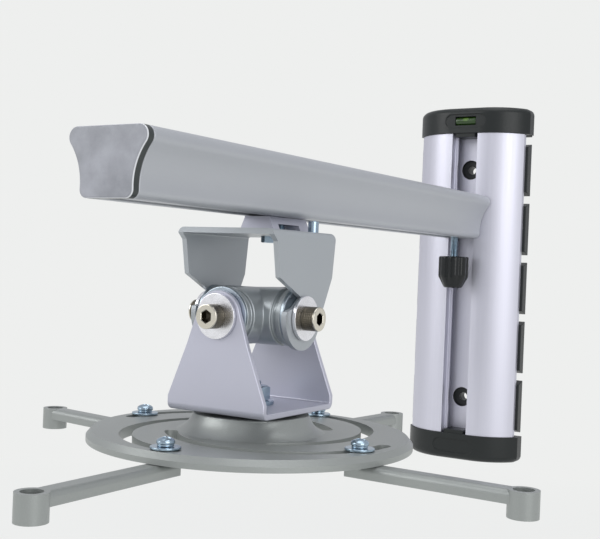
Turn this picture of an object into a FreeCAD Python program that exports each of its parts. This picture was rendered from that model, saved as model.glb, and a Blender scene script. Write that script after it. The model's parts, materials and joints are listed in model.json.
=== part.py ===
import FreeCAD, Part
import math
import os
import re
import Sketcher

# Wall arm for a short-throw projector, in millimetres, +Z up.
# The wall is the plane y = 0, the arm runs to -Y, and the origin is the middle of the column.
os.makedirs("parts", exist_ok=True)
doc = FreeCAD.newDocument("projector_wall_arm")
Vector = FreeCAD.Vector

# Driving sizes: alias, value, what it is
SIZES = [
    ("column_width", 85, "width of the slotted column"),
    ("column_height", 234, "length of the column between its end caps"),
    ("column_front", 28, "wall to the lips of the channel"),
    ("column_side", 12, "wall to the edge where the rounded lobe starts"),
    ("lobe_radius", 36.5, "radius of each rounded front lobe"),
    ("column_wall", 2.5, "wall of the hollow lobes"),
    ("lobe_web", 3, "wall between channel and hollow lobe"),
    ("mouth_width", 20.6, "mouth of the column's T-slot"),
    ("lip_step", 2, "how far the inner edge of a lip stands into the mouth"),
    ("channel_width", 30, "undercut of the column's T-slot"),
    ("lip_depth", 9, "thickness of the lips of the T-slot"),
    ("channel_floor", 13.4, "wall to the floor of the T-slot"),
    ("screw_recess", 15, "counterbore in the channel floor for the head of a wall screw"),
    ("screw_recess_depth", 3, "depth of that counterbore"),
    ("wall_hole_margin", 27.4, "column's end to the axis of a wall screw"),
    ("wall_hole", 6.5, "hole for a wall screw"),
    ("plate_width", 89.2, "width of the rear plate"),
    ("plate_depth", 8, "thickness of the rear plate"),
    ("notch_margin", 4, "column's top to the middle of the first notch"),
    ("notch_wide", 11, "notch at the column"),
    ("notch_narrow", 5.5, "notch at the wall"),
    ("notch_depth", 6, "depth of a notch from the plate's edge"),
    ("cap_height", 20, "height of an end cap"),
    ("cap_overhang", 1, "how far a cap stands past the column"),
    ("cap_round", 5, "rounding of a cap's outer edge"),
    ("cap_tongue", 3, "tongue of a cap in the T-slot"),
    ("recess_width", 33, "shallow oval on the front of each cap"),
    ("recess_height", 10.5, "height of the oval"),
    ("recess_depth", 0.8, "depth of the oval"),
    ("recess_rise", 9.5, "middle of an oval past the column's end"),
    ("vial_length", 17, "length of the level vial"),
    ("vial_diameter", 6.6, "diameter of the level vial"),
    ("slide_gap", 0.3, "gap between pieces that slide or turn past each other"),
    ("fit_gap", 0.05, "radial running fit of a screw in its bore"),
    ("arm_drop", 65.4, "column's top to the middle of the arm"),
    ("arm_reach", 433.3, "wall to the front of the arm"),
    ("arm_height", 33, "height of the arm's section"),
    ("arm_top_width", 46.8, "width of the arm at the top"),
    ("arm_bottom_width", 31.6, "width of the arm at the bottom"),
    ("arm_top_corner", 5, "corner radius at the top of the arm"),
    ("arm_bottom_corner", 4, "corner radius at the bottom of the arm"),
    ("arm_waist_radius", 30, "radius of the arm's hollow flanks"),
    ("arm_wall", 3, "wall of the arm"),
    ("arm_slot", 11, "slot in the underside of the arm"),
    ("arm_cap_depth", 5, "thickness of the arm's front cap"),
    ("arm_plug_depth", 10, "plug of the front cap in the arm"),
    ("end_plate_depth", 3, "plate between arm and column"),
    ("slider_height", 32, "length of the slider in the T-slot"),
    ("insert_width", 23, "width of the block in the rear of the arm"),
    ("insert_height", 20, "height of the block in the rear of the arm"),
    ("insert_depth", 28, "length of the block in the rear of the arm"),
    ("slider_screw", 4, "diameter of the two screws through the slider"),
    ("slider_screw_pitch", 9.5, "distance between the two slider screws"),
    ("slider_screw_head", 7, "head of a slider screw"),
    ("slider_screw_recess", 4.5, "height of a slider screw's head"),
    ("slider_screw_end", 2, "slider screw's end inside the block"),
    ("knob_reach", 40, "wall to the axis of the hand knob"),
    ("knob_drop", 14.6, "underside of the arm to the knob"),
    ("knob_height", 24, "height of the knob"),
    ("knob_diameter", 23, "diameter of the knob's grip"),
    ("knob_tail", 13.5, "diameter of the knob's lower end"),
    ("knob_taper", 8.5, "height of the knob's tapered end"),
    ("knob_edge", 1.5, "chamfer of the knob's upper edge"),
    ("knob_flute", 2.6, "radius of a flute in the knob's grip"),
    ("knob_flute_depth", 0.9, "depth of a flute"),
    ("stud_diameter", 6, "stud of the hand knob"),
    ("stud_hold", 8, "stud inside the knob, and inside the block in the arm"),
    ("head_reach", 309.2, "wall to the middle of the tilting head"),
    ("shoe_height", 8.1, "arm to the top of the upper bracket"),
    ("shoe_top", 16, "width of the shoe at the arm"),
    ("shoe_bottom", 22.5, "width of the shoe at the bracket"),
    ("shoe_front", 2, "front of the shoe before the head's middle"),
    ("shoe_back", 36, "back of the shoe behind the head's middle"),
    ("shoe_web", 3.9, "web of the shoe over its opening"),
    ("shoe_gap_front", 4.6, "front of the opening under the web"),
    ("shoe_gap_back", 26, "back of the opening under the web"),
    ("trolley_bolt", 5, "diameter of the two trolley bolts"),
    ("trolley_bolt_front", 11, "first trolley bolt behind the head's middle"),
    ("trolley_bolt_back", 22, "second trolley bolt behind the head's middle"),
    ("trolley_nut_width", 23, "width of the nut plate in the arm"),
    ("trolley_nut_height", 6, "thickness of the nut plate in the arm"),
    ("trolley_nut_length", 40, "length of the nut plate in the arm"),
    ("small_hex", 8, "across flats of the trolley bolt heads"),
    ("small_head", 3.5, "height of the trolley bolt heads"),
    ("lock_side_margin", 11.4, "bracket's side to the axis of the lock screw"),
    ("lock_back_margin", 6, "bracket's rear edge to the axis of the lock screw"),
    ("lock_head", 6, "head of the lock screw"),
    ("lock_head_height", 6.5, "height of the lock screw's head"),
    ("lock_key", 3, "hexagon socket of the lock screw"),
    ("lock_key_depth", 2.5, "depth of that socket"),
    ("lock_length", 9, "lock screw below the bracket's top"),
    ("sheet_thickness", 3, "sheet of both brackets"),
    ("bend_radius", 4, "outer bend radius of both brackets"),
    ("upper_width", 62, "width of the upper bracket over its ears"),
    ("upper_length", 63, "length of the upper bracket's top"),
    ("upper_drop", 46.5, "top of the upper bracket above the head's middle"),
    ("upper_lobe", 17.3, "round lower end of the upper ears"),
    ("lower_span", 70, "length of the lower bracket over its ears"),
    ("lower_drop", 51.5, "head's middle to the underside of the lower bracket"),
    ("lower_width", 62, "width of the lower bracket's base"),
    ("lower_waist", 38.6, "width of the lower ears where they narrow"),
    ("lower_lobe", 13.5, "round upper end of the lower ears"),
    ("barrel_diameter", 31, "both barrels of the cross block"),
    ("barrel_neck", 27.6, "ring groove of a barrel"),
    ("barrel_neck_width", 3, "width of a ring groove"),
    ("barrel_flange", 3, "flange between ring groove and barrel end"),
    ("friction_thickness", 2, "friction washer at a barrel's end"),
    ("friction_diameter", 31, "outside of a friction washer"),
    ("tilt_screw", 8, "diameter of the four tilt screws"),
    ("tilt_head", 13, "head of a tilt screw"),
    ("tilt_head_height", 8, "height of a tilt screw's head"),
    ("tilt_key", 6, "hexagon socket of a tilt screw"),
    ("tilt_key_depth", 4.5, "depth of the hexagon socket"),
    ("tilt_screw_inner", 9, "inner end of a tilt screw from the head's middle"),
    ("tilt_washer", 24, "washer of a tilt screw"),
    ("tilt_washer_thickness", 2, "thickness of that washer"),
    ("swivel_screw", 10, "diameter of the swivel bolt"),
    ("swivel_hex", 17, "across flats of the swivel bolt and nut"),
    ("swivel_nut_height", 8, "height of the swivel nut"),
    ("swivel_head_height", 6, "height of the swivel bolt's head"),
    ("swivel_washer", 24, "washer of the swivel nut"),
    ("swivel_washer_thickness", 2, "thickness of that washer"),
    ("swivel_end", 2.5, "swivel bolt past its nut"),
    ("pad_diameter", 50, "friction pad over the disc's hub"),
    ("pad_thickness", 1.5, "thickness of that pad"),
    ("disc_radius", 88.8, "outer radius of the disc"),
    ("disc_rim_top", 86.3, "radius of the disc's upper edge"),
    ("disc_thickness", 5.9, "thickness of the disc's flange"),
    ("disc_bevel", 3, "height of the rim's bevel"),
    ("hub_height", 10.1, "hub above the disc's flange"),
    ("hub_radius", 32, "radius of the hub's top"),
    ("hub_foot", 41, "radius where the hub meets the flange"),
    ("hub_flare", 14, "radius of the hub's hollow flare"),
    ("hub_wall", 5, "wall of the hub"),
    ("slot_width", 7, "width of a curved slot"),
    ("slot_radius", 60.5, "radius of a curved slot"),
    ("slot_offset", 18, "disc's middle to the middle of a slot's curve"),
    ("slot_side", 3.5, "sideways shift of the middle of a slot's curve"),
    ("slot_sweep_angle", 143, "angle of a slot along its curve"),
    ("slot_turn_angle", -83.9, "angle of the first slot's outer end"),
    ("clamp_screw", 5, "diameter of a clamp screw"),
    ("clamp_head", 9.2, "head of a clamp screw"),
    ("clamp_head_height", 3.2, "height of a clamp screw's head"),
    ("clamp_washer", 15.3, "washer of a clamp screw"),
    ("clamp_washer_thickness", 1.2, "thickness of that washer"),
    ("spring_washer", 8.2, "outside of a clamp screw's spring washer"),
    ("spring_thickness", 1.4, "thickness of that spring washer"),
    ("spring_split", 0.8, "split of that spring washer"),
    ("clamp_key", 5.6, "length of the cross recess of a clamp screw"),
    ("clamp_key_width", 1.2, "width of that cross recess"),
    ("clamp_key_depth", 1.8, "depth of that cross recess"),
    ("clamp_end", 0.8, "clamp screw past the leg's underside"),
    ("clamp_angle_front", 8, "place of the front leg's screw along its slot"),
    ("clamp_angle_right", 24, "place of the right leg's screw along its slot"),
    ("clamp_angle_back", 8, "place of the back leg's screw along its slot"),
    ("clamp_angle_left", 13.8, "place of the left leg's screw along its slot"),
    ("leg_length", 87, "leg from its clamp screw to its foot"),
    ("leg_width", 12, "width of a leg's bar"),
    ("leg_height", 6.5, "height of a leg's bar"),
    ("leg_round", 3, "rounding of the bar's upper edges"),
    ("leg_end", 5, "end of the bar past its clamp screw"),
    ("foot_diameter", 15, "diameter of a leg's foot"),
    ("foot_height", 12.8, "height of a leg's foot"),
    ("foot_bore", 10, "counterbore of a foot"),
    ("foot_floor", 4, "floor of a foot under its counterbore"),
    ("foot_hole", 4.5, "hole for a projector screw"),
    ("leg_angle_front", -89.7, "direction of the front leg"),
    ("leg_angle_right", -2.3, "direction of the right leg"),
    ("leg_angle_back", 85, "direction of the back leg"),
    ("leg_angle_left", 171, "direction of the left leg"),
]

sheet = doc.addObject("Spreadsheet::Sheet", "Sizes")
for row, (alias, value, meaning) in enumerate(SIZES, start=1):
    sheet.set("A%d" % row, meaning)
    sheet.set("B%d" % row, str(value))
    sheet.setAlias("B%d" % row, alias)
doc.recompute()
ALIASES = {alias for alias, value, meaning in SIZES}

# Levels that follow from the driving sizes
COLUMN_TOP = "column_height / 2"
ARM_LEVEL = "(column_height / 2 - arm_drop)"
ARM_BOTTOM = "(%s - arm_height / 2)" % ARM_LEVEL
ARM_REAR = "(column_front + slide_gap + end_plate_depth)"
ARM_FRONT = "(arm_reach - arm_cap_depth)"
KNOB_TOP = "(%s - knob_drop)" % ARM_BOTTOM
BRACKET_TOP = "(%s - shoe_height)" % ARM_BOTTOM
HEAD_LEVEL = "(%s - upper_drop)" % BRACKET_TOP
UPPER_BARREL = "(upper_width / 2 - sheet_thickness - slide_gap - friction_thickness)"
LOWER_BARREL = "(lower_span / 2 - sheet_thickness - slide_gap - friction_thickness)"
HUB_TOP = "(lower_drop + pad_thickness + slide_gap)"
FLANGE_TOP = "(%s + hub_height)" % HUB_TOP
FLANGE_BOTTOM = "(%s + disc_thickness)" % FLANGE_TOP
HUB_CEILING = "(%s + hub_wall)" % HUB_TOP
LEG_TOP = "(%s + slide_gap)" % FLANGE_BOTTOM
SLOT_START = "asin(slot_side / slot_radius)"


def full(expression):
    """An expression with every alias written as a cell of the sheet."""
    return re.sub(
        r"[A-Za-z_]+",
        lambda word: "Sizes." + word.group() if word.group() in ALIASES else word.group(),
        expression,
    )


def number(expression):
    """The present value of an expression."""
    result = sheet.evalExpression(full(expression))
    return float(getattr(result, "Value", result))


def origin_feature(body, role):
    """A plane or axis of a body's own origin."""
    return [item for item in body.Origin.OriginFeatures if item.Role == role][0]


def new_body(label, at_head=False):
    """An empty body, with its origin in the middle of the head if asked."""
    body = doc.addObject("PartDesign::Body", label)
    body.Label = label
    body.AllowCompound = True
    if at_head:
        place(body, "0", "-head_reach", HEAD_LEVEL)
    return body


def place(body, x, y, z):
    """Bind a body's position to the sheet."""
    for axis, expression in zip("xyz", (x, y, z)):
        body.setExpression(".Placement.Base." + axis, full(expression))


def pin_point(sketch, piece, end, x, y):
    """Hold one point of a sketch at two bound distances from its origin."""
    for kind, expression in (("DistanceX", x), ("DistanceY", y)):
        index = sketch.addConstraint(
            Sketcher.Constraint(kind, -1, 1, piece, end, number(expression))
        )
        sketch.setExpression("Constraints[%d]" % index, full(expression))


def arc_through(start, end, radius, side):
    """The short arc between two points, bulging right of the way along it for side 1."""
    chord = end - start
    left = Vector(-chord.y, chord.x, 0).normalize()
    rise = math.sqrt(max(radius ** 2 - (chord.Length / 2) ** 2, 0))
    centre = (start + end) / 2 + left * rise * side
    first, last = (start, end) if side > 0 else (end, start)
    angles = [math.atan2(point.y - centre.y, point.x - centre.x) for point in (first, last)]
    if angles[1] < angles[0]:
        angles[1] += 2 * math.pi
    return Part.ArcOfCircle(Part.Circle(centre, Vector(0, 0, 1), radius), *angles)


def add_loop(sketch, loop):
    """A closed loop of bound corners: (x, y) for a line on, (x, y, radius, side) for an arc on."""
    if loop[0] == "circle":
        kind, x, y, radius = loop
        centre = Vector(number(x), number(y), 0)
        piece = sketch.addGeometry(Part.Circle(centre, Vector(0, 0, 1), number(radius)))
        pin_point(sketch, piece, 3, x, y)
        index = sketch.addConstraint(Sketcher.Constraint("Radius", piece, number(radius)))
        sketch.setExpression("Constraints[%d]" % index, full(radius))
        return
    corners = [Vector(number(item[0]), number(item[1]), 0) for item in loop]
    pieces = []
    for index, item in enumerate(loop):
        start = corners[index]
        end = corners[(index + 1) % len(loop)]
        if len(item) == 2:
            pieces.append((sketch.addGeometry(Part.LineSegment(start, end)), 1, 2))
            continue
        side = item[3]
        piece = sketch.addGeometry(arc_through(start, end, number(item[2]), side))
        pieces.append((piece, 1, 2) if side > 0 else (piece, 2, 1))
    for index, (piece, first, last) in enumerate(pieces):
        following, its_first, its_last = pieces[(index + 1) % len(pieces)]
        sketch.addConstraint(Sketcher.Constraint("Coincident", piece, last, following, its_first))
    for index, (piece, first, last) in enumerate(pieces):
        pin_point(sketch, piece, first, loop[index][0], loop[index][1])
    for index, (piece, first, last) in enumerate(pieces):
        if len(loop[index]) == 4:
            radius = loop[index][2]
            bound = sketch.addConstraint(Sketcher.Constraint("Radius", piece, number(radius)))
            sketch.setExpression("Constraints[%d]" % bound, full(radius))


def draw(body, role, loops, level="0"):
    """A sketch of closed loops on a plane of the body's origin, at a level along its normal."""
    sketch = body.newObject("Sketcher::SketchObject", "Profile")
    sketch.AttachmentSupport = [(origin_feature(body, role), "")]
    sketch.MapMode = "FlatFace"
    sketch.setExpression(".AttachmentOffset.Base.z", full(level))
    for loop in loops:
        add_loop(sketch, loop)
    sketch.Visibility = False
    return sketch


def pad(body, role, loops, length, level="0", reverse=False, middle=False):
    """Add a prism on a sketch."""
    feature = body.newObject("PartDesign::Pad", "Pad")
    feature.Profile = draw(body, role, loops, level)
    feature.SideType = "Symmetric" if middle else "One side"
    feature.Reversed = reverse
    feature.setExpression("Length", full(length))
    body.Tip = feature
    doc.recompute()
    return feature


def pocket(body, role, loops, length, level="0", reverse=False, middle=False):
    """Cut a prism out; a pocket runs against the normal of its sketch."""
    before = body.Shape.Volume
    feature = body.newObject("PartDesign::Pocket", "Pocket")
    feature.Profile = draw(body, role, loops, level)
    feature.SideType = "Symmetric" if middle else "One side"
    feature.Reversed = reverse
    feature.setExpression("Length", full(length))
    body.Tip = feature
    doc.recompute()
    if not body.Shape.Volume < before:
        raise RuntimeError("a pocket cuts nothing in " + body.Label)
    return feature


def revolve(body, role, loops, axis):
    """Add a turned form about the horizontal or vertical axis of its sketch."""
    feature = body.newObject("PartDesign::Revolution", "Revolution")
    profile = draw(body, role, loops)
    feature.Profile = profile
    feature.ReferenceAxis = (profile, [axis])
    feature.Angle = 360
    body.Tip = feature
    doc.recompute()
    return feature


def repeat_round(body, feature, count):
    """Repeat a feature evenly about the body's upright axis."""
    pattern = body.newObject("PartDesign::PolarPattern", "Pattern")
    pattern.Originals = [feature]
    pattern.Axis = (origin_feature(body, "Z_Axis"), [""])
    pattern.Angle = 360
    pattern.Occurrences = count
    body.Tip = pattern
    doc.recompute()
    return pattern


def fillet(body, radius, chosen):
    """Round the edges of the body whose middle point is chosen."""
    base = body.Tip
    names = []
    for index, edge in enumerate(base.Shape.Edges, start=1):
        middle = edge.valueAt((edge.FirstParameter + edge.LastParameter) / 2)
        if chosen(middle, edge):
            names.append("Edge%d" % index)
    feature = body.newObject("PartDesign::Fillet", "Fillet")
    feature.Base = (base, names)
    feature.setExpression("Radius", full(radius))
    body.Tip = feature
    doc.recompute()
    return feature


def rectangle(left, right, bottom, top):
    """A rectangle between four bound sides."""
    return [(left, bottom), (right, bottom), (right, top), (left, top)]


def oval(half_width, radius, x, y):
    """A slot with round ends that lies along the sketch's first axis."""
    inner = "(%s - %s)" % (half_width, radius)
    right = "%s + %s" % (x, inner)
    left = "%s - %s" % (x, inner)
    return [
        (left, "%s - %s" % (y, radius)),
        (right, "%s - %s" % (y, radius), radius, 1),
        ("%s + %s" % (x, half_width), y, radius, 1),
        (right, "%s + %s" % (y, radius)),
        (left, "%s + %s" % (y, radius), radius, 1),
        ("%s - %s" % (x, half_width), y, radius, 1),
    ]


def hexagon(flats, x="0", y="0"):
    """A hexagon with two corners on the sketch's second axis."""
    half = "%s / 2" % flats
    low = "%s / 2 * tan(30 deg)" % flats
    high = "%s / 2 / cos(30 deg)" % flats
    return [
        (x + " + " + half, y + " - " + low),
        (x + " + " + half, y + " + " + low),
        (x, y + " + " + high),
        (x + " - " + half, y + " + " + low),
        (x + " - " + half, y + " - " + low),
        (x, y + " - " + high),
    ]


def front_outline(grow):
    """Half-round outline of the column in plan, from its right rear corner to its left one."""
    lobe = "(lobe_radius + %s)" % grow
    flat = "(column_width / 2 - sqrt(lobe_radius ^ 2 - (column_front - column_side - lobe_radius) ^ 2))"
    side = "(column_width / 2 + %s)" % grow
    shoulder = "-(column_front - lobe_radius + sqrt(%s ^ 2 - (%s - %s) ^ 2))" % (lobe, side, flat)
    front = "-(column_front + %s)" % grow
    return flat, side, shoulder, front, lobe


# The slotted column: two hollow rounded lobes with a T-slot between them
flat, side, shoulder, front, lobe = front_outline("0")
mouth = "mouth_width / 2"
narrow = "(mouth_width / 2 - lip_step)"
undercut = "channel_width / 2"
lip = "-(column_front - lip_depth)"
ledge = "-(column_front - lip_depth + lip_step)"
column = new_body("column_extrusion")
outline = [
    ("-" + side, "-plate_depth"),
    ("-" + side, shoulder, lobe, 1),
    ("-" + flat, front),
    ("-" + mouth, front),
    ("-" + mouth, ledge),
    ("-" + narrow, ledge),
    ("-" + narrow, lip),
    ("-" + undercut, lip),
    ("-" + undercut, "-channel_floor"),
    (undercut, "-channel_floor"),
    (undercut, lip),
    (narrow, lip),
    (narrow, ledge),
    (mouth, ledge),
    (mouth, front),
    (flat, front, lobe, 1),
    (side, shoulder),
    (side, "-plate_depth"),
]
inner_lobe = "(lobe_radius - column_wall)"
inner_side = "(column_width / 2 - column_wall)"
inner_near = "(channel_width / 2 + lobe_web)"
core_near = "-(column_front - lobe_radius + sqrt(%s ^ 2 - (%s - %s) ^ 2))" % (inner_lobe, inner_near, flat)
core_far = "-(column_front - lobe_radius + sqrt(%s ^ 2 - (%s - %s) ^ 2))" % (inner_lobe, inner_side, flat)
core_back = "-(plate_depth + column_wall)"
cores = [
    [
        (inner_near, core_back),
        (inner_near, core_near, inner_lobe, 1),
        (inner_side, core_far),
        (inner_side, core_back),
    ],
    [
        ("-" + inner_side, core_back),
        ("-" + inner_side, core_far, inner_lobe, 1),
        ("-" + inner_near, core_near),
        ("-" + inner_near, core_back),
    ],
]
pad(column, "XY_Plane", [outline] + cores, "column_height", middle=True)


def wall_screw_circles(radius):
    """Circles about both wall screws, in a sketch that faces the wall."""
    rise = "(column_height / 2 - wall_hole_margin)"
    return [("circle", "0", rise, radius), ("circle", "0", "-" + rise, radius)]


recesses = wall_screw_circles("screw_recess / 2")
pocket(column, "XZ_Plane", recesses, "screw_recess_depth", level="channel_floor")
pocket(column, "XZ_Plane", wall_screw_circles("wall_hole / 2"), "column_front", level="channel_floor")

# The rear plate with its dovetail notches
rear = new_body("rear_plate")
plate = rectangle("-plate_width / 2", "plate_width / 2", "-plate_depth", "0")
pad(rear, "XY_Plane", [plate], "column_height", middle=True)
lowest = "-column_height / 2"
notch = [
    ("-plate_depth", lowest + " - notch_wide / 2"),
    ("0", lowest + " - notch_narrow / 2"),
    ("0", lowest + " + notch_narrow / 2"),
    ("-plate_depth", lowest + " + notch_wide / 2"),
]
right_notch = pocket(rear, "YZ_Plane", [notch], "notch_depth", level="plate_width / 2")
left_notch = pocket(rear, "YZ_Plane", [notch], "notch_depth", level="-plate_width / 2", reverse=True)
row = rear.newObject("PartDesign::LinearPattern", "Notches")
row.Originals = [right_notch, left_notch]
row.Direction = (origin_feature(rear, "Z_Axis"), [""])
row.setExpression("Length", full("column_height - notch_margin"))
row.Occurrences = 6
rear.Tip = row
doc.recompute()
pocket(rear, "XZ_Plane", wall_screw_circles("wall_hole / 2"), "plate_depth * 4", middle=True)


def end_cap(label, sign):
    """A moulded cap over column and rear plate, with a tongue in the T-slot and an oval in front."""
    body = new_body(label)
    flat, side, shoulder, front, lobe = front_outline("cap_overhang")
    wide = "(plate_width / 2 + cap_overhang)"
    plan = [
        ("-" + wide, "0"),
        ("-" + wide, "-plate_depth - cap_overhang"),
        ("-" + side, shoulder, lobe, 1),
        ("-" + flat, front),
        (flat, front, lobe, 1),
        (side, shoulder),
        (wide, "-plate_depth - cap_overhang"),
        (wide, "0"),
    ]
    level = COLUMN_TOP if sign > 0 else "-" + COLUMN_TOP
    pad(body, "XY_Plane", [plan], "cap_height", level=level, reverse=sign < 0)
    outer = sign * number("column_height / 2 + cap_height")
    fillet(body, "cap_round", lambda at, edge: abs(at.z - outer) < 0.01 and at.y < -0.01)
    play = "slide_gap"
    tongue = rectangle(
        "-mouth_width / 2 + lip_step + " + play,
        "mouth_width / 2 - lip_step - " + play,
        "-column_front + " + play,
        "-channel_floor - " + play,
    )
    pad(body, "XY_Plane", [tongue], "cap_tongue", level=level, reverse=sign > 0)
    middle = recess_level if sign > 0 else "-" + recess_level
    recess = oval("recess_width / 2", "recess_height / 2", "0", middle)
    pocket(body, "XZ_Plane", [recess], "recess_depth", level="column_front + cap_overhang")
    return body


recess_level = "(column_height / 2 + recess_rise)"
top_cap = end_cap("top_cap", 1)
end_cap("bottom_cap", -1)
seat = rectangle(
    "-vial_length / 2",
    "vial_length / 2",
    recess_level + " - vial_diameter / 2",
    recess_level + " + vial_diameter / 2",
)
recess_floor = "(column_front + cap_overhang - recess_depth)"
pocket(top_cap, "XZ_Plane", [seat], "vial_diameter", level=recess_floor)

# The level vial, sunk in its seat to the floor of the oval
vial = new_body("level_vial")
place(vial, "0", "-%s + vial_diameter / 2" % recess_floor, recess_level)
tube_radius = "vial_diameter / 2"
tube = [
    ("-vial_length / 2", "0"),
    ("vial_length / 2", "0"),
    ("vial_length / 2", tube_radius),
    ("-vial_length / 2", tube_radius),
]
revolve(vial, "XZ_Plane", [tube], "H_Axis")

# The slider in the column's T-slot, with counterbores for the screws that carry the arm
slider = new_body("slider_block")
place(slider, "0", "0", ARM_LEVEL)
wing = "channel_width / 2 - slide_gap"
neck = "mouth_width / 2 - lip_step - slide_gap"
wing_front = "-(column_front - lip_depth - slide_gap)"
slider_front = "-(column_front + slide_gap)"
slider_back = "-(channel_floor + slide_gap)"
tee = [
    ("-(%s)" % wing, slider_back),
    ("-(%s)" % wing, wing_front),
    ("-(%s)" % neck, wing_front),
    ("-(%s)" % neck, slider_front),
    (neck, slider_front),
    (neck, wing_front),
    (wing, wing_front),
    (wing, slider_back),
]
pad(slider, "XY_Plane", [tee], "slider_height", middle=True)
screw_side = "slider_screw_pitch / 2"
bore = "slider_screw / 2 + fit_gap"
recess = "slider_screw_head / 2 + fit_gap"
for radius, depth in ((bore, "column_front"), (recess, "slider_screw_recess")):
    holes = [("circle", "-" + screw_side, "0", radius), ("circle", screw_side, "0", radius)]
    pocket(slider, "XZ_Plane", holes, depth, level="channel_floor + slide_gap", reverse=True)


# The arm's section: corner circles joined by a hollow flank that touches both
top_x = "(arm_top_width / 2 - arm_top_corner)"
top_z = "(arm_height / 2 - arm_top_corner)"
low_x = "(arm_bottom_width / 2 - arm_bottom_corner)"
low_z = "(-arm_height / 2 + arm_bottom_corner)"
span_x = "(%s - %s)" % (top_x, low_x)
span_z = "(%s - %s)" % (top_z, low_z)
span = "sqrt(%s ^ 2 + %s ^ 2)" % (span_x, span_z)
to_top = "(arm_waist_radius + arm_top_corner)"
to_low = "(arm_waist_radius + arm_bottom_corner)"
along = "((%s ^ 2 - %s ^ 2 + %s ^ 2) / (2 * %s))" % (to_top, to_low, span, span)
aside = "sqrt(%s ^ 2 - %s ^ 2)" % (to_top, along)
waist_x = "(%s - %s * %s / %s + %s * %s / %s)" % (top_x, along, span_x, span, aside, span_z, span)
waist_z = "(%s - %s * %s / %s - %s * %s / %s)" % (top_z, along, span_z, span, aside, span_x, span)


def touching(x, z, corner, reach, grow):
    """The point where a corner circle meets the flank."""
    part = "((%s + %s) / %s)" % (corner, grow, reach)
    return "(%s + %s * (%s - %s))" % (x, part, waist_x, x), "(%s + %s * (%s - %s))" % (z, part, waist_z, z)


def vase(grow):
    """The arm's section, grown outward by a margin."""
    top = "(arm_height / 2 + %s)" % grow
    high_x, high_z = touching(top_x, top_z, "arm_top_corner", to_top, grow)
    foot_x, foot_z = touching(low_x, low_z, "arm_bottom_corner", to_low, grow)
    top_corner = "arm_top_corner + " + grow
    low_corner = "arm_bottom_corner + " + grow
    flank = "arm_waist_radius - (%s)" % grow
    return [
        (low_x, "-" + top, low_corner, 1),
        (foot_x, foot_z, flank, -1),
        (high_x, high_z, top_corner, 1),
        (top_x, top),
        ("-" + top_x, top, top_corner, 1),
        ("-" + high_x, high_z, flank, -1),
        ("-" + foot_x, foot_z, low_corner, 1),
        ("-" + low_x, "-" + top),
    ]


# The arm: a hollow extrusion with a slot along its underside
arm = new_body("arm_extrusion")
place(arm, "0", "0", ARM_LEVEL)
pad(arm, "XZ_Plane", [vase("0")], "%s - %s" % (ARM_FRONT, ARM_REAR), level=ARM_REAR)
pocket(arm, "XZ_Plane", [vase("(-arm_wall)")], "arm_reach", level=ARM_FRONT + " + 1")
hollow_floor = "-arm_height / 2 + arm_wall"
hollow_top = "arm_height / 2 - arm_wall"
slot = rectangle("-arm_slot / 2", "arm_slot / 2", "-arm_height / 2 - 1", hollow_floor + " + 1")
pocket(arm, "XZ_Plane", [slot], "arm_reach", level=ARM_FRONT + " + 1")

# The moulded cap on the arm's front, with a plug in the hollow
front_cap = new_body("arm_front_cap")
place(front_cap, "0", "0", ARM_LEVEL)
pad(front_cap, "XZ_Plane", [vase("0")], "arm_cap_depth", level=ARM_FRONT)
plug = rectangle(
    "-insert_width / 2",
    "insert_width / 2",
    hollow_floor + " + slide_gap",
    hollow_top + " - slide_gap",
)
pad(front_cap, "XZ_Plane", [plug], "arm_plug_depth", level=ARM_FRONT, reverse=True)

# The plate between arm and column
end_plate = new_body("arm_end_plate")
place(end_plate, "0", "0", ARM_LEVEL)
screw_holes = [
    ("circle", "-" + screw_side, "0", "slider_screw / 2 + fit_gap"),
    ("circle", screw_side, "0", "slider_screw / 2 + fit_gap"),
]
pad(
    end_plate, "XZ_Plane", [vase("0")] + screw_holes,
    "end_plate_depth", level="column_front + slide_gap",
)

# The block in the rear of the arm that takes the slider screws and the knob's stud
insert = new_body("arm_insert")
place(insert, "0", "0", ARM_LEVEL)
block = rectangle(
    "-insert_width / 2", "insert_width / 2", hollow_floor, hollow_floor + " + insert_height",
)
pad(insert, "XZ_Plane", [block] + screw_holes, "insert_depth", level=ARM_REAR)
stud_bore = ("circle", "0", "-knob_reach", "stud_diameter / 2 + fit_gap")
pocket(insert, "XY_Plane", [stud_bore], "stud_hold + slide_gap", level=hollow_floor, reverse=True)

# The two screws that hold the arm to the slider
slider_screws = new_body("slider_screws")
place(slider_screws, "0", "0", ARM_LEVEL)
for sign in ("-", ""):
    x = sign + screw_side
    pad(
        slider_screws, "XZ_Plane", [("circle", x, "0", "slider_screw_head / 2")],
        "slider_screw_recess", level="channel_floor + slide_gap",
    )
    pad(
        slider_screws, "XZ_Plane", [("circle", x, "0", "slider_screw / 2")],
        "%s + insert_depth - channel_floor - slide_gap - slider_screw_end" % ARM_REAR,
        level="channel_floor + slide_gap",
    )

# The hand knob and its stud
stud = new_body("knob_stud")
place(stud, "0", "-knob_reach", "0")
stud_foot = "(%s - stud_hold)" % KNOB_TOP
stud_top = "(%s + arm_wall + stud_hold)" % ARM_BOTTOM
pad(
    stud, "XY_Plane", [("circle", "0", "0", "stud_diameter / 2")],
    "%s - %s" % (stud_top, stud_foot), level=stud_foot,
)
knob = new_body("hand_knob")
place(knob, "0", "-knob_reach", "0")
grip = "knob_diameter / 2"
knob_low = "(%s - knob_height)" % KNOB_TOP
knob_profile = [
    ("0", knob_low),
    ("knob_tail / 2", knob_low),
    (grip, knob_low + " + knob_taper"),
    (grip, KNOB_TOP + " - knob_edge"),
    (grip + " - knob_edge", KNOB_TOP),
    ("stud_diameter / 2", KNOB_TOP),
    ("stud_diameter / 2", stud_foot),
    ("0", stud_foot),
]
revolve(knob, "XZ_Plane", [knob_profile], "V_Axis")
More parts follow.
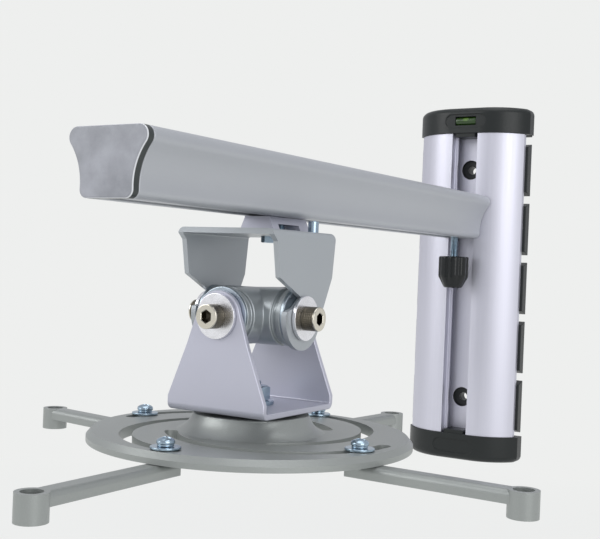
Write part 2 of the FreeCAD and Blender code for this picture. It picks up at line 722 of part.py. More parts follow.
flute_axis = grip + " + knob_flute - knob_flute_depth"
flute = pocket(
    knob, "XY_Plane", [("circle", flute_axis, "0", "knob_flute")],
    "knob_height + slide_gap", level=KNOB_TOP + " + slide_gap",
)
repeat_round(knob, flute, 8)

# The trolley: nut plate in the arm, shoe under it, two bolts and a lock screw
bolt_places = ["trolley_bolt_front", "trolley_bolt_back"]


def bolt_circles(radius):
    """Circles at both trolley bolts, in a plan sketch about the head."""
    return [("circle", "0", y, radius) for y in bolt_places]


rise = "(%s - %s)" % (ARM_BOTTOM, HEAD_LEVEL)
nut_plate = new_body("trolley_nut_plate", at_head=True)
nut_middle = "(trolley_bolt_front + trolley_bolt_back) / 2"
nut_outline = rectangle(
    "-trolley_nut_width / 2", "trolley_nut_width / 2",
    nut_middle + " - trolley_nut_length / 2", nut_middle + " + trolley_nut_length / 2",
)
nut_level = "%s + arm_wall + slide_gap" % rise
pad(
    nut_plate, "XY_Plane", [nut_outline] + bolt_circles("trolley_bolt / 2 + fit_gap"),
    "trolley_nut_height", level=nut_level,
)

shoe = new_body("trolley_shoe", at_head=True)
hat = [
    ("-shoe_bottom / 2", "upper_drop"),
    ("shoe_bottom / 2", "upper_drop"),
    ("shoe_top / 2", rise + " - slide_gap"),
    ("-shoe_top / 2", rise + " - slide_gap"),
]
pad(shoe, "XZ_Plane", [hat], "shoe_front + shoe_back", level="-shoe_back")
under_web = rectangle(
    "shoe_gap_front", "shoe_gap_back", "upper_drop - 1", rise + " - slide_gap - shoe_web",
)
pocket(shoe, "YZ_Plane", [under_web], "shoe_bottom * 2", middle=True)
pocket(
    shoe, "XY_Plane", bolt_circles("trolley_bolt / 2 + fit_gap"),
    "shoe_height * 2", level="upper_drop - 1", reverse=True,
)

bolts = new_body("trolley_bolts", at_head=True)
bolt_seat = "upper_drop - sheet_thickness"
for y in bolt_places:
    pad(bolts, "XY_Plane", [hexagon("small_hex", "0", y)], "small_head", level=bolt_seat, reverse=True)
    pad(
        bolts, "XY_Plane", [("circle", "0", y, "trolley_bolt / 2")],
        "%s + trolley_nut_height - (%s)" % (nut_level, bolt_seat), level=bolt_seat,
    )

lock = new_body("lock_screw", at_head=True)
lock_side = "(upper_width / 2 - lock_side_margin)"
lock_back = "(upper_length / 2 - lock_back_margin)"
pad(
    lock, "XY_Plane", [("circle", lock_side, lock_back, "lock_head / 2")],
    "lock_head_height", level="upper_drop",
)
pocket(
    lock, "XY_Plane", [hexagon("lock_key", lock_side, lock_back)],
    "lock_key_depth", level="upper_drop + lock_head_height",
)
pad(
    lock, "XY_Plane", [("circle", lock_side, lock_back, "trolley_bolt / 2")],
    "lock_length", level="upper_drop", reverse=True,
)


def channel_section(half, outer, far, sign):
    """A sheet bent to a U: legs at both sides, base at the outer level, open at the far one."""
    inner = "(%s - sheet_thickness)" % half
    bend = "bend_radius"
    tight = "(bend_radius - sheet_thickness)"
    level = sign + outer
    inside = "%s(%s - sheet_thickness)" % (sign, outer)
    near = "%s(%s - bend_radius)" % (sign, outer)
    turn = 1 if sign == "-" else -1
    return [
        ("-" + half, near, bend, turn),
        ("-%s + %s" % (half, bend), level),
        ("%s - %s" % (half, bend), level, bend, turn),
        (half, near),
        (half, far),
        (inner, far),
        (inner, near, tight, -turn),
        ("%s - %s" % (inner, tight), inside),
        ("-%s + %s" % (inner, tight), inside, tight, -turn),
        ("-" + inner, near),
        ("-" + inner, far),
        ("-" + half, far),
    ]


# The upper bracket: a sheet bent down into two ears with a notch in front
upper = new_body("upper_bracket", at_head=True)
pad(
    upper, "XZ_Plane", [channel_section("(upper_width / 2)", "upper_drop", "-upper_drop / 2", "")],
    "upper_length", middle=True,
)
lobe_radius = "upper_lobe"
half_top = "upper_length / 2"
ear = [
    ("-" + half_top, "upper_drop + 1"),
    ("-" + half_top, "upper_drop - 3"),
    ("-upper_length * 0.44", "upper_drop * 0.86"),
    ("-upper_length * 0.385", "upper_drop * 0.46"),
    ("-upper_length * 0.032", "upper_drop * 0.23"),
    ("-upper_length * 0.14", "upper_drop * 0.12"),
    ("-upper_lobe * cos(12 deg)", "upper_lobe * sin(12 deg)", lobe_radius, 1),
    ("0", "-upper_lobe", lobe_radius, 1),
    ("upper_lobe * cos(-5 deg)", "upper_lobe * sin(-5 deg)"),
    ("upper_length * 0.46", "upper_drop * 0.47"),
    (half_top, "upper_drop - 3"),
    (half_top, "upper_drop + 1"),
]
frame = rectangle("-upper_length", "upper_length", "-upper_drop * 2", "upper_drop * 2")
pocket(upper, "YZ_Plane", [frame, ear], "upper_width * 2", middle=True)
pocket(
    upper, "YZ_Plane", [("circle", "0", "0", "tilt_screw / 2 + fit_gap")],
    "upper_width * 2", middle=True,
)
plate_holes = bolt_circles("trolley_bolt / 2 + fit_gap")
plate_holes.append(("circle", lock_side, lock_back, "trolley_bolt / 2 + fit_gap"))
pocket(upper, "XY_Plane", plate_holes, "sheet_thickness * 2", level="upper_drop + 1")

# The cross block: two crossing barrels with ring grooves, tapped for the tilt screws
cross = new_body("cross_block", at_head=True)
for role, reach in (("XZ_Plane", UPPER_BARREL), ("YZ_Plane", LOWER_BARREL)):
    outer = "barrel_diameter / 2"
    groove = "barrel_neck / 2"
    half = []
    for sign in ("", "-"):
        steps = [
            (sign + reach, "0"),
            (sign + reach, outer),
            ("%s(%s - barrel_flange)" % (sign, reach), outer),
            ("%s(%s - barrel_flange)" % (sign, reach), groove),
            ("%s(%s - barrel_flange - barrel_neck_width)" % (sign, reach), groove),
            ("%s(%s - barrel_flange - barrel_neck_width)" % (sign, reach), outer),
        ]
        half.append(steps)
    revolve(cross, role, [half[0] + half[1][::-1]], "H_Axis")
tap = [("circle", "0", "0", "tilt_screw / 2")]
tap_depth_x = "%s - tilt_screw_inner" % UPPER_BARREL
tap_depth_y = "%s - tilt_screw_inner" % LOWER_BARREL
pocket(cross, "YZ_Plane", tap, tap_depth_x, level=UPPER_BARREL)
pocket(cross, "YZ_Plane", tap, tap_depth_x, level="-" + UPPER_BARREL, reverse=True)
pocket(cross, "XZ_Plane", tap, tap_depth_y, level=LOWER_BARREL)
pocket(cross, "XZ_Plane", tap, tap_depth_y, level="-" + LOWER_BARREL, reverse=True)


def tilt_hardware(axis, role, barrel, half_span):
    """Screws, washers and friction washers on one tilt axis, a pair of each."""
    washer_seat = "(%s + slide_gap)" % half_span
    head_seat = "(%s + tilt_washer_thickness)" % washer_seat
    bore = "tilt_screw / 2"
    screws = new_body(axis + "_screws", at_head=True)
    for sign, flipped in (("", False), ("-", True)):
        pad(
            screws, role, [("circle", "0", "0", "tilt_head / 2")],
            "tilt_head_height", level=sign + head_seat, reverse=flipped,
        )
        pad(
            screws, role, [("circle", "0", "0", bore)],
            "%s - tilt_screw_inner" % head_seat, level=sign + head_seat, reverse=not flipped,
        )
        pocket(
            screws, role, [hexagon("tilt_key")], "tilt_key_depth",
            level="%s(%s + tilt_head_height)" % (sign, head_seat), reverse=flipped,
        )
    washers = new_body(axis + "_washers", at_head=True)
    friction = new_body(axis + "_friction_washers", at_head=True)
    for sign, flipped in (("", False), ("-", True)):
        pad(
            washers, role, [("circle", "0", "0", "tilt_washer / 2"), ("circle", "0", "0", bore)],
            "tilt_washer_thickness", level=sign + washer_seat, reverse=flipped,
        )
        pad(
            friction, role, [("circle", "0", "0", "friction_diameter / 2"), ("circle", "0", "0", bore)],
            "friction_thickness", level=sign + barrel, reverse=flipped,
        )


tilt_hardware("pitch", "YZ_Plane", UPPER_BARREL, "upper_width / 2")
tilt_hardware("roll", "XZ_Plane", LOWER_BARREL, "lower_span / 2")

# The lower bracket: a sheet bent up into two tapering ears with round tops
lower = new_body("lower_bracket", at_head=True)
pad(
    lower, "YZ_Plane", [channel_section("(lower_span / 2)", "lower_drop", "lower_lobe + 2", "-")],
    "lower_width + 2", middle=True,
)
shield = [
    ("-lower_width / 2", "-lower_drop - 1"),
    ("lower_width / 2", "-lower_drop - 1"),
    ("lower_width / 2", "-lower_drop * 0.854"),
    ("lower_waist / 2", "-lower_drop * 0.291"),
    ("lower_lobe * cos(12 deg)", "lower_lobe * sin(12 deg)", "lower_lobe", 1),
    ("0", "lower_lobe", "lower_lobe", 1),
    ("-lower_lobe * cos(12 deg)", "lower_lobe * sin(12 deg)"),
    ("-lower_waist / 2", "-lower_drop * 0.291"),
    ("-lower_width / 2", "-lower_drop * 0.854"),
]
frame = rectangle("-lower_width", "lower_width", "-lower_drop * 2", "lower_drop * 2")
pocket(lower, "XZ_Plane", [frame, shield], "lower_span * 2", middle=True)
pocket(
    lower, "XZ_Plane", [("circle", "0", "0", "tilt_screw / 2 + fit_gap")],
    "lower_span * 2", middle=True,
)
pocket(
    lower, "XY_Plane", [("circle", "0", "0", "swivel_screw / 2")],
    "sheet_thickness * 3", level="-lower_drop + sheet_thickness * 2",
)

# The swivel: pad, washer, nut and bolt on the upright axis
swivel_pad = new_body("swivel_friction_pad", at_head=True)
pad(
    swivel_pad, "XY_Plane",
    [("circle", "0", "0", "pad_diameter / 2"), ("circle", "0", "0", "swivel_screw / 2")],
    "pad_thickness", level="-lower_drop", reverse=True,
)
base_inside = "(-lower_drop + sheet_thickness)"
swivel_washer = new_body("swivel_washer", at_head=True)
pad(
    swivel_washer, "XY_Plane",
    [("circle", "0", "0", "swivel_washer / 2"), ("circle", "0", "0", "swivel_screw / 2")],
    "swivel_washer_thickness", level=base_inside,
)
nut_seat = "(%s + swivel_washer_thickness)" % base_inside
swivel_nut = new_body("swivel_nut", at_head=True)
pad(
    swivel_nut, "XY_Plane", [hexagon("swivel_hex"), ("circle", "0", "0", "swivel_screw / 2")],
    "swivel_nut_height", level=nut_seat,
)
swivel_bolt = new_body("swivel_bolt", at_head=True)
head_top = "-(%s + slide_gap)" % HUB_CEILING
pad(swivel_bolt, "XY_Plane", [hexagon("swivel_hex")], "swivel_head_height", level=head_top, reverse=True)
pad(
    swivel_bolt, "XY_Plane", [("circle", "0", "0", "swivel_screw / 2")],
    "%s + swivel_nut_height + swivel_end - (%s)" % (nut_seat, head_top), level=head_top,
)

# The die-cast disc: flared hub, bevelled rim and four curved slots
disc = new_body("disc_plate", at_head=True)
dish = [
    ("swivel_screw / 2 + fit_gap", "-" + HUB_CEILING),
    ("hub_radius - hub_wall", "-" + HUB_CEILING),
    ("hub_foot - hub_wall", "-" + FLANGE_BOTTOM),
    ("disc_radius", "-" + FLANGE_BOTTOM),
    ("disc_radius", "-(%s + disc_bevel)" % FLANGE_TOP),
    ("disc_rim_top", "-" + FLANGE_TOP),
    ("hub_foot", "-" + FLANGE_TOP, "hub_flare", -1),
    ("hub_radius", "-(%s + 1)" % HUB_TOP, "1", 1),
    ("hub_radius - 1", "-" + HUB_TOP),
    ("swivel_screw / 2 + fit_gap", "-" + HUB_TOP),
]
revolve(disc, "XZ_Plane", [dish], "V_Axis")


def on_slot(radius, angle):
    """A point on a slot's curve, measured clockwise from the side of its outer end."""
    return (
        "slot_offset + (%s) * cos(%s)" % (radius, angle),
        "slot_side - (%s) * sin(%s)" % (radius, angle),
    )


def turned(point, angle):
    """A bound point turned about the disc's middle."""
    x, y = point
    return (
        "(%s) * cos(%s) - (%s) * sin(%s)" % (x, angle, y, angle),
        "(%s) * sin(%s) + (%s) * cos(%s)" % (x, angle, y, angle),
    )


half_slot = "slot_width / 2"
outer_curve = "slot_radius + slot_width / 2"
inner_curve = "slot_radius - slot_width / 2"
slot_middle = "(%s + slot_sweep_angle * 0.5 deg)" % SLOT_START
slot_end = "(%s + slot_sweep_angle * 1 deg)" % SLOT_START
start_tip = "(%s - 2 * asin(slot_width / 4 / slot_radius))" % SLOT_START
end_tip = "(%s + 2 * asin(slot_width / 4 / slot_radius))" % slot_end
slot_points = [
    (on_slot(outer_curve, SLOT_START), half_slot, 1),
    (on_slot("slot_radius", start_tip), half_slot, 1),
    (on_slot(inner_curve, SLOT_START), inner_curve, -1),
    (on_slot(inner_curve, slot_middle), inner_curve, -1),
    (on_slot(inner_curve, slot_end), half_slot, 1),
    (on_slot("slot_radius", end_tip), half_slot, 1),
    (on_slot(outer_curve, slot_end), outer_curve, 1),
    (on_slot(outer_curve, slot_middle), outer_curve, 1),
]
curved_slot = [turned(point, "slot_turn_angle") + (radius, side) for point, radius, side in slot_points]
cut = pocket(disc, "XY_Plane", [curved_slot], "disc_thickness * 3", level="-%s + 2" % FLANGE_TOP)
repeat_round(disc, cut, 4)

# Four clamp screws with washers, each in its slot, and the four legs under them
LEGS = ["front", "right", "back", "left"]


def screw_point(index, name):
    """Where a leg's screw stands, about the disc's middle."""
    turn = "(slot_turn_angle + %d)" % (90 * index)
    return turned(on_slot("slot_radius", "clamp_angle_" + name), turn)


def put_on_slot(body, index, name):
    """Place a body made about its screw at the screw's place on the disc."""
    x, y = screw_point(index, name)
    place(body, x, "-head_reach + " + y, HEAD_LEVEL)


def clamp(index, name):
    """A pan-head screw with its flat washer and spring washer over one slot."""
    washer_bottom = "-%s + slide_gap" % FLANGE_TOP
    washer_top = "(%s + clamp_washer_thickness)" % washer_bottom
    bore = "clamp_screw / 2"
    washer = new_body("clamp_washer_" + name)
    put_on_slot(washer, index, name)
    ring = [("circle", "0", "0", "clamp_washer / 2"), ("circle", "0", "0", bore)]
    pad(washer, "XY_Plane", [ring[0], ring[1]], "clamp_washer_thickness", level=washer_bottom)
    spring = new_body("clamp_spring_" + name)
    put_on_slot(spring, index, name)
    coil = [("circle", "0", "0", "spring_washer / 2"), ("circle", "0", "0", bore)]
    pad(spring, "XY_Plane", coil, "spring_thickness", level=washer_top)
    split = rectangle("-spring_split / 2", "spring_split / 2", "0", "spring_washer")
    pocket(spring, "XY_Plane", [split], "spring_thickness * 2", level=washer_top, middle=True)
    screw = new_body("clamp_screw_" + name)
    put_on_slot(screw, index, name)
    head = "clamp_head / 2"
    head_seat = "(%s + spring_thickness)" % washer_top
    head_top = head_seat + " + clamp_head_height"
    tip = "-(%s + leg_height + clamp_end)" % LEG_TOP
    profile = [
        ("0", tip),
        (bore, tip),
        (bore, head_seat),
        (head, head_seat),
        (head, head_seat + " + clamp_head_height / 2"),
        ("clamp_key / 2", head_top),
        ("0", head_top),
    ]
    revolve(screw, "XZ_Plane", [profile], "V_Axis")
    long, short = "clamp_key / 2", "clamp_key_width / 2"
    for across, up in ((long, short), (short, long)):
        bar = rectangle("-" + across, across, "-" + up, up)
        pocket(screw, "XY_Plane", [bar], "clamp_key_depth", level=head_top)


def leg(index, name):
    """A cast bar from its eye under the disc to a counterbored foot."""
    body = new_body("leg_" + name)
    put_on_slot(body, index, name)
    body.Placement.Rotation = FreeCAD.Rotation(Vector(0, 0, 1), 0)
    body.setExpression(".Placement.Rotation.Angle", full("leg_angle_" + name))
    top = "-" + LEG_TOP
    half = "leg_width / 2"
    shoulder = "%s - leg_round" % top
    underside = "%s - leg_height" % top
    section = [
        ("-" + half, underside),
        (half, underside),
        (half, shoulder, "leg_round", 1),
        (half + " - leg_round", top),
        ("-" + half + " + leg_round", top, "leg_round", 1),
        ("-" + half, shoulder),
    ]
    pad(body, "YZ_Plane", [section], "leg_length + leg_end", level="-leg_end")
    foot = [("circle", "leg_length", "0", "foot_diameter / 2")]
    pad(body, "XY_Plane", foot, "foot_height", level=top, reverse=True)
    pocket(
        body, "XY_Plane", [("circle", "0", "0", "clamp_screw / 2 + fit_gap")],
        "leg_height * 2", level=top,
    )
    pocket(
        body, "XY_Plane", [("circle", "leg_length", "0", "foot_bore / 2")],
        "foot_height - foot_floor", level=top,
    )
    pocket(
        body, "XY_Plane", [("circle", "leg_length", "0", "foot_hole / 2")],
        "foot_height * 2", level=top,
    )


for index, name in enumerate(LEGS):
    clamp(index, name)
    leg(index, name)

# Write every body out under its label
doc.recompute()
for body in [item for item in doc.Objects if item.TypeId == "PartDesign::Body"]:
    for item in [body] + list(body.Group):
        if "Invalid" in item.State or "Error" in item.State:
            raise RuntimeError("%s in %s is not sound" % (item.Name, body.Label))
    if body.Shape.isNull() or not body.Shape.isValid():
        raise RuntimeError(body.Label + " has no sound shape")
    body.Shape.exportStep("parts/%s.step" % body.Label)
    box = body.Shape.BoundBox
    print("%-24s %d solids  %9.0f mm3  x %.1f %.1f  y %.1f %.1f  z %.1f %.1f" % (
        body.Label, len(body.Shape.Solids), body.Shape.Volume,
        box.XMin, box.XMax, box.YMin, box.YMax, box.ZMin, box.ZMax))
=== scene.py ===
# %% [markdown]
# # A wall arm for a projector
# The solids of this object are already exact: a slotted column, a hollow arm, a tilting head
# and a disc with four legs. Blender's work is what a designer adds last: broken edges that
# catch the light, turned and knurled screws, and the finish of each metal and plastic.
# One could shade the solids as they are, but a solid has perfectly sharp edges and no real
# object does, so every part that shows gets its edges and its surface made here.

import json
import math

import bmesh
import bpy
import numpy as np
from mathutils import Matrix, Vector


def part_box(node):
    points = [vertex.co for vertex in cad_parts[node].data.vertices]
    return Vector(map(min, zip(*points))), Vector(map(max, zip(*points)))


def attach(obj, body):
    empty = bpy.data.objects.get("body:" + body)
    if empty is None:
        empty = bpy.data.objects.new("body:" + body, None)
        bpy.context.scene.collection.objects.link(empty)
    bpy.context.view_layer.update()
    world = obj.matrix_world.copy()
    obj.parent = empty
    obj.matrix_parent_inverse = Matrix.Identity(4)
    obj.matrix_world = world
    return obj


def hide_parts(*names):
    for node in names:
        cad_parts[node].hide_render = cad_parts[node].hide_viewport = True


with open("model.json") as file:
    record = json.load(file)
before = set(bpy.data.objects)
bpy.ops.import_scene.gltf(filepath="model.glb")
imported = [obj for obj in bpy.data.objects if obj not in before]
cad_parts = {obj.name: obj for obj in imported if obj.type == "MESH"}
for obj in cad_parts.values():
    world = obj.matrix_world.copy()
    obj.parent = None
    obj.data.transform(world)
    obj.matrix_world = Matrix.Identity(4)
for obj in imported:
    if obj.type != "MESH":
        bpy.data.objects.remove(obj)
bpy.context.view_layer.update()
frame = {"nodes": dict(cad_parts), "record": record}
NODES = frame["nodes"]

# %% [markdown]
# ## The camera
# The picture was taken from the front right, level with the column's middle, through a
# longish lens, and held a little askew. A look-at constraint could aim the camera, but the
# view is known as three angles and a place, so the camera's matrix is written straight from
# its right, up and back vectors. That way each number keeps its meaning.

# %% Camera from azimuth, elevation and roll
IMAGE_WIDTH_PX = 600
FOCAL_PX = 1042.75
SENSOR_MM = 36.0
NEAREST = 0.02
AZIMUTH, ELEVATION, ROLL = math.radians(31.67), math.radians(0.15), math.radians(2.3)
EYE = Vector((0.3206, -0.7841, 0.0079))

camera_data = bpy.data.cameras.new("photo_camera")
camera_data.sensor_fit = "HORIZONTAL"
camera_data.sensor_width = SENSOR_MM
camera_data.lens = FOCAL_PX * SENSOR_MM / IMAGE_WIDTH_PX
camera_data.clip_start = NEAREST
camera = bpy.data.objects.new("photo_camera", camera_data)
bpy.context.scene.collection.objects.link(camera)
bpy.context.scene.camera = camera
back = Vector((
    math.sin(AZIMUTH) * math.cos(ELEVATION),
    -math.cos(AZIMUTH) * math.cos(ELEVATION),
    math.sin(ELEVATION),
))
right = Vector((math.cos(AZIMUTH), math.sin(AZIMUTH), 0))
up = back.cross(right)
camera_x = right * math.cos(ROLL) + up * math.sin(ROLL)
camera_y = up * math.cos(ROLL) - right * math.sin(ROLL)
turn = Matrix((camera_x, camera_y, back)).transposed()
camera.matrix_world = Matrix.Translation(EYE) @ turn.to_4x4()
print("lens", round(camera_data.lens, 2), "mm")

# %% [markdown]
# ## Sums that become shader nodes
# A finish is arithmetic on noise and coordinates: "three parts of this, less a tenth of that".
# Wiring each sum by hand hides the thought, so a small class lets Python's own signs make
# the nodes. It knows numbers on either side of a sign. Any other node comes from one method
# of the tree that owns it, which takes its kind, its settings and what its sockets get.


# %% A value that varies over a surface
class Field:
    """A socket that takes part in sums; every sign makes one Math node."""

    def __init__(self, tree, socket):
        self.tree = tree
        self.socket = socket

    def math(self, operation, *others):
        """This field and the others, in that order, through one Math node."""
        return self.tree.math(operation, self, *others)

    def __add__(self, other):
        return self.math("ADD", other)

    def __sub__(self, other):
        return self.math("SUBTRACT", other)

    def __rsub__(self, other):
        return self.tree.math("SUBTRACT", other, self)

    def __mul__(self, other):
        return self.math("MULTIPLY", other)

    def __truediv__(self, other):
        return self.math("DIVIDE", other)

    def __rtruediv__(self, other):
        return self.tree.math("DIVIDE", other, self)

    def __pow__(self, other):
        return self.math("POWER", other)

    __radd__ = __add__
    __rmul__ = __mul__

    def clamped(self):
        """Held between 0 and 1."""
        return self.tree.node("ShaderNodeClamp", {}, {"Value": self})

    def split(self):
        """The X, Y and Z of a vector field."""
        first = self.tree.node("ShaderNodeSeparateXYZ", {}, {"Vector": self})
        return [Field(self.tree, socket) for socket in first.socket.node.outputs]


class Tree:
    """A node tree, in which one method makes every node."""

    def __init__(self, graph):
        self.graph = graph

    def node(self, kind, settings, sockets, output=0):
        """One node of a kind: its settings first, then a value or a field for each socket."""
        made = self.graph.nodes.new(kind)
        for key, value in settings.items():
            setattr(made, key, value)
        for key, value in sockets.items():
            if isinstance(value, Field):
                self.graph.links.new(value.socket, made.inputs[key])
            else:
                made.inputs[key].default_value = value
        return Field(self, made.outputs[output])

    def math(self, operation, *values):
        """One Math node on numbers and fields."""
        return self.node("ShaderNodeMath", {"operation": operation}, dict(enumerate(values)))

    def close(self, shader):
        """Let a shader be what the tree's own output shows."""
        ends = [node for node in self.graph.nodes if node.bl_idname.startswith("ShaderNodeOutput")]
        self.graph.links.new(shader.socket, ends[0].inputs["Surface"])


print("sums and trees ready")

# %% [markdown]
# ## A finish
# Metal, paint and plastic are all one Principled shader. What is the same all over a piece is
# a number on the shader's own socket, and only what changes over the surface is a field.
# Every piece lies at the origin of one shared frame, so Object coordinates are metres in that
# frame, and a grain keeps its size from piece to piece.

# %% Materials with constants and fields
MIX_FACTOR, MIX_FIRST, MIX_SECOND, MIX_RESULT = 0, 6, 7, 2


class Finish(Tree):
    """A Principled material with constants on its own sockets and fields where it varies."""

    def __init__(self, name, colour, metallic, roughness, others=None):
        self.material = bpy.data.materials.new(name)
        self.material.use_nodes = True
        self.material.diffuse_color = (*colour, 1.0)
        super().__init__(self.material.node_tree)
        self.shader = self.graph.nodes["Principled BSDF"]
        constants = {"Base Color": (*colour, 1.0), "Metallic": metallic, "Roughness": roughness}
        constants.update(others or {})
        for key, value in constants.items():
            self.shader.inputs[key].default_value = value

    def feed(self, name, field):
        """Let a field drive one of the shader's varying sockets."""
        self.graph.links.new(field.socket, self.shader.inputs[name])

    def place(self):
        """Object coordinates, in metres: the frame's own, for every piece sits at the origin."""
        return self.node("ShaderNodeTexCoord", {}, {}, "Object")

    def stretched(self, scale):
        """Object coordinates stretched along the axes."""
        return self.node("ShaderNodeMapping", {}, {"Vector": self.place(), "Scale": scale})

    def noise(self, scale, detail=2.0, where=None, rough=0.5):
        """Soft noise from 0 to 1, with so many grains to a metre."""
        sockets = {"Vector": where or self.place(), "Scale": scale, "Detail": detail, "Roughness": rough}
        return self.node("ShaderNodeTexNoise", {}, sockets)

    def mix(self, factor, first, second):
        """A colour between two colours, each a field or three numbers."""
        first, second = (
            colour if isinstance(colour, Field) else (*colour, 1.0) for colour in (first, second)
        )
        sockets = {MIX_FACTOR: factor, MIX_FIRST: first, MIX_SECOND: second}
        return self.node("ShaderNodeMix", {"data_type": "RGBA"}, sockets, MIX_RESULT)

    def emboss(self, height, depth):
        """Bump from a height field, so many metres deep at 1."""
        self.feed("Normal", self.node("ShaderNodeBump", {}, {"Height": height, "Distance": depth}))


def tone(hexcode):
    """A colour written as in a paint chart, made linear."""
    parts = [int(hexcode[start:start + 2], 16) / 255 for start in (0, 2, 4)]
    return tuple(part / 12.92 if part <= 0.04045 else ((part + 0.055) / 1.055) ** 2.4 for part in parts)


def shades(colour, darker, lighter):
    """A colour times two factors, neither result brighter than white."""
    return [tuple(min(part * factor, 1.0) for part in colour) for factor in (darker, lighter)]


print("finishes ready")

# %% [markdown]
# ## The painted and coated metals
# The arm, the disc and the legs have a fine metallic powder coat: a grey with small bright
# flakes and the faint ripple that such a coat dries to. The brackets are smoother, the lower
# one paler as well, and the cross block is glossier. Flakes could be real geometry, but at a
# few hundredths of a millimetre they only ever read as a change of colour and gloss. From here
# on, a name that ends in TO_METRE counts the grains of a noise along one metre.

# %% Metallic paint: ripple, flakes and a slow change of tone
FLAKES_TO_METRE, CLOUDS_TO_METRE, RIPPLES_TO_METRE = 5200.0, 18.0, 1500.0
PAINT_DARKER, PAINT_LIGHTER = 0.72, 1.28
CLOUD_TONE, CLOUD_GLOSS, FLAKE_GLOSS = 0.10, 0.12, 0.10


def metallic_paint(name, colour, metallic, roughness, ripple, flake):
    """Colour from 0.72 to 1.28 of the base, by flakes + slow cloud; height = ripple noise."""
    finish = Finish(name, colour, metallic, roughness)
    flakes = finish.noise(FLAKES_TO_METRE, 1.0)
    cloud = finish.noise(CLOUDS_TO_METRE)
    shade = (flakes - 0.5) * flake + (cloud - 0.5) * CLOUD_TONE + 0.5
    gloss = (cloud - 0.5) * CLOUD_GLOSS + (flakes - 0.5) * FLAKE_GLOSS + roughness
    finish.feed("Base Color", finish.mix(shade.clamped(), *shades(colour, PAINT_DARKER, PAINT_LIGHTER)))
    finish.feed("Roughness", gloss.clamped())
    finish.emboss(finish.noise(RIPPLES_TO_METRE), ripple)
    return finish.material


ARM_GREY = metallic_paint("arm_grey_coat", tone("b0b3b8"), 0.5, 0.44, 0.00004, 0.45)
DISC_GREY = metallic_paint("disc_grey_coat", tone("989c9a"), 0.55, 0.38, 0.00009, 0.55)
BRACKET = metallic_paint("bracket_silver_coat", tone("bebfcc"), 0.5, 0.38, 0.00002, 0.3)
UPPER = metallic_paint("upper_bracket_coat", tone("a9aeb2"), 0.5, 0.36, 0.00002, 0.35)
BLOCK = metallic_paint("block_grey_coat", tone("a1a7aa"), 0.55, 0.32, 0.00003, 0.45)
print("coats:", ARM_GREY.name, DISC_GREY.name, BRACKET.name, UPPER.name, BLOCK.name)

# %% [markdown]
# ## Anodised aluminium
# The column is drawn through a die, so it carries hair-fine lines along its length under a
# clear anodised skin, and the counterbores of its two wall screws are painted black inside as
# shade. A brushed look can come from anisotropic shading, but the lines here are few and soft,
# so noise that is stretched many times along Z changes colour, gloss and height instead. The
# painted shade comes from the place: near a wall screw and deeper than the channel's floor.

# %% Drawn and anodised column
WALL_SCREW_HEIGHT, COUNTERBORE = 0.0896, 0.0077
CHANNEL_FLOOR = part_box("column_extrusion")[1].y - 0.0053
# Painted shade: the near-black that stands in for the shade inside the counterbores.
BORE_PAINTED_SHADE = tone("1c2021")
BORE_BLUR = 0.0002
METAL_SHARE = 0.85
LINES_TO_METRE, LINE_STRETCH = 900.0, (1.0, 1.0, 0.016)
BANDS_TO_METRE, BAND_STRETCH = 60.0, (1.0, 1.0, 0.05)
LINE_TONE, BAND_TONE, LINE_GLOSS, LINE_DEPTH = 0.5, 0.35, 0.16, 0.000012
DRAWN_DARKER, DRAWN_LIGHTER = 0.9, 1.08


def drawn_aluminium(name, colour, roughness):
    """Noise n(x, y, z * 0.016) makes upright lines of tone, gloss and height; bores get painted shade."""
    finish = Finish(name, colour, METAL_SHARE, roughness)
    lines = finish.noise(LINES_TO_METRE, 3.0, finish.stretched(LINE_STRETCH))
    bands = finish.noise(BANDS_TO_METRE, 2.0, finish.stretched(BAND_STRETCH))
    shade = (lines - 0.5) * LINE_TONE + (bands - 0.5) * BAND_TONE + 0.5
    x, y, z = finish.place().split()
    away = (x ** 2.0 + (z.math("ABSOLUTE") - WALL_SCREW_HEIGHT) ** 2.0) ** 0.5
    inside = ((COUNTERBORE - away) / BORE_BLUR).clamped()
    # Painted shade: inside a counterbore and below the channel's floor, the colour turns black.
    painted_bore_shade = inside * ((y - CHANNEL_FLOOR) / BORE_BLUR).clamped()
    drawn = finish.mix(shade.clamped(), *shades(colour, DRAWN_DARKER, DRAWN_LIGHTER))
    finish.feed("Base Color", finish.mix(painted_bore_shade, drawn, BORE_PAINTED_SHADE))
    finish.feed("Metallic", METAL_SHARE - painted_bore_shade * METAL_SHARE)
    finish.feed("Roughness", ((lines - 0.5) * LINE_GLOSS + roughness).clamped())
    finish.emboss(lines, LINE_DEPTH)
    return finish.material


COLUMN = drawn_aluminium("satin_anodised", tone("cfcfda"), 0.46)
print("column:", COLUMN.name)

# %% [markdown]
# ## Moulded plastics
# Caps, rear plate and knob come from a mould that was spark-eroded to a fine leather-like
# grain. The grain is a Voronoi cell pattern too fine to model, so it is bump, and a soft noise
# beside it breaks up the gloss.

# %% Grained plastic
SOFT_SHARE, SOFT_HEIGHT, SOFT_GLOSS = 0.4, 0.6, 0.18
WEAR_TO_METRE, WEAR_GLOSS, WEAR_TONE = 25.0, 0.12, 0.6
PLASTIC_DARKER, PLASTIC_LIGHTER = 0.8, 1.25
PLASTIC_SHEEN = {"Specular IOR Level": 0.35}


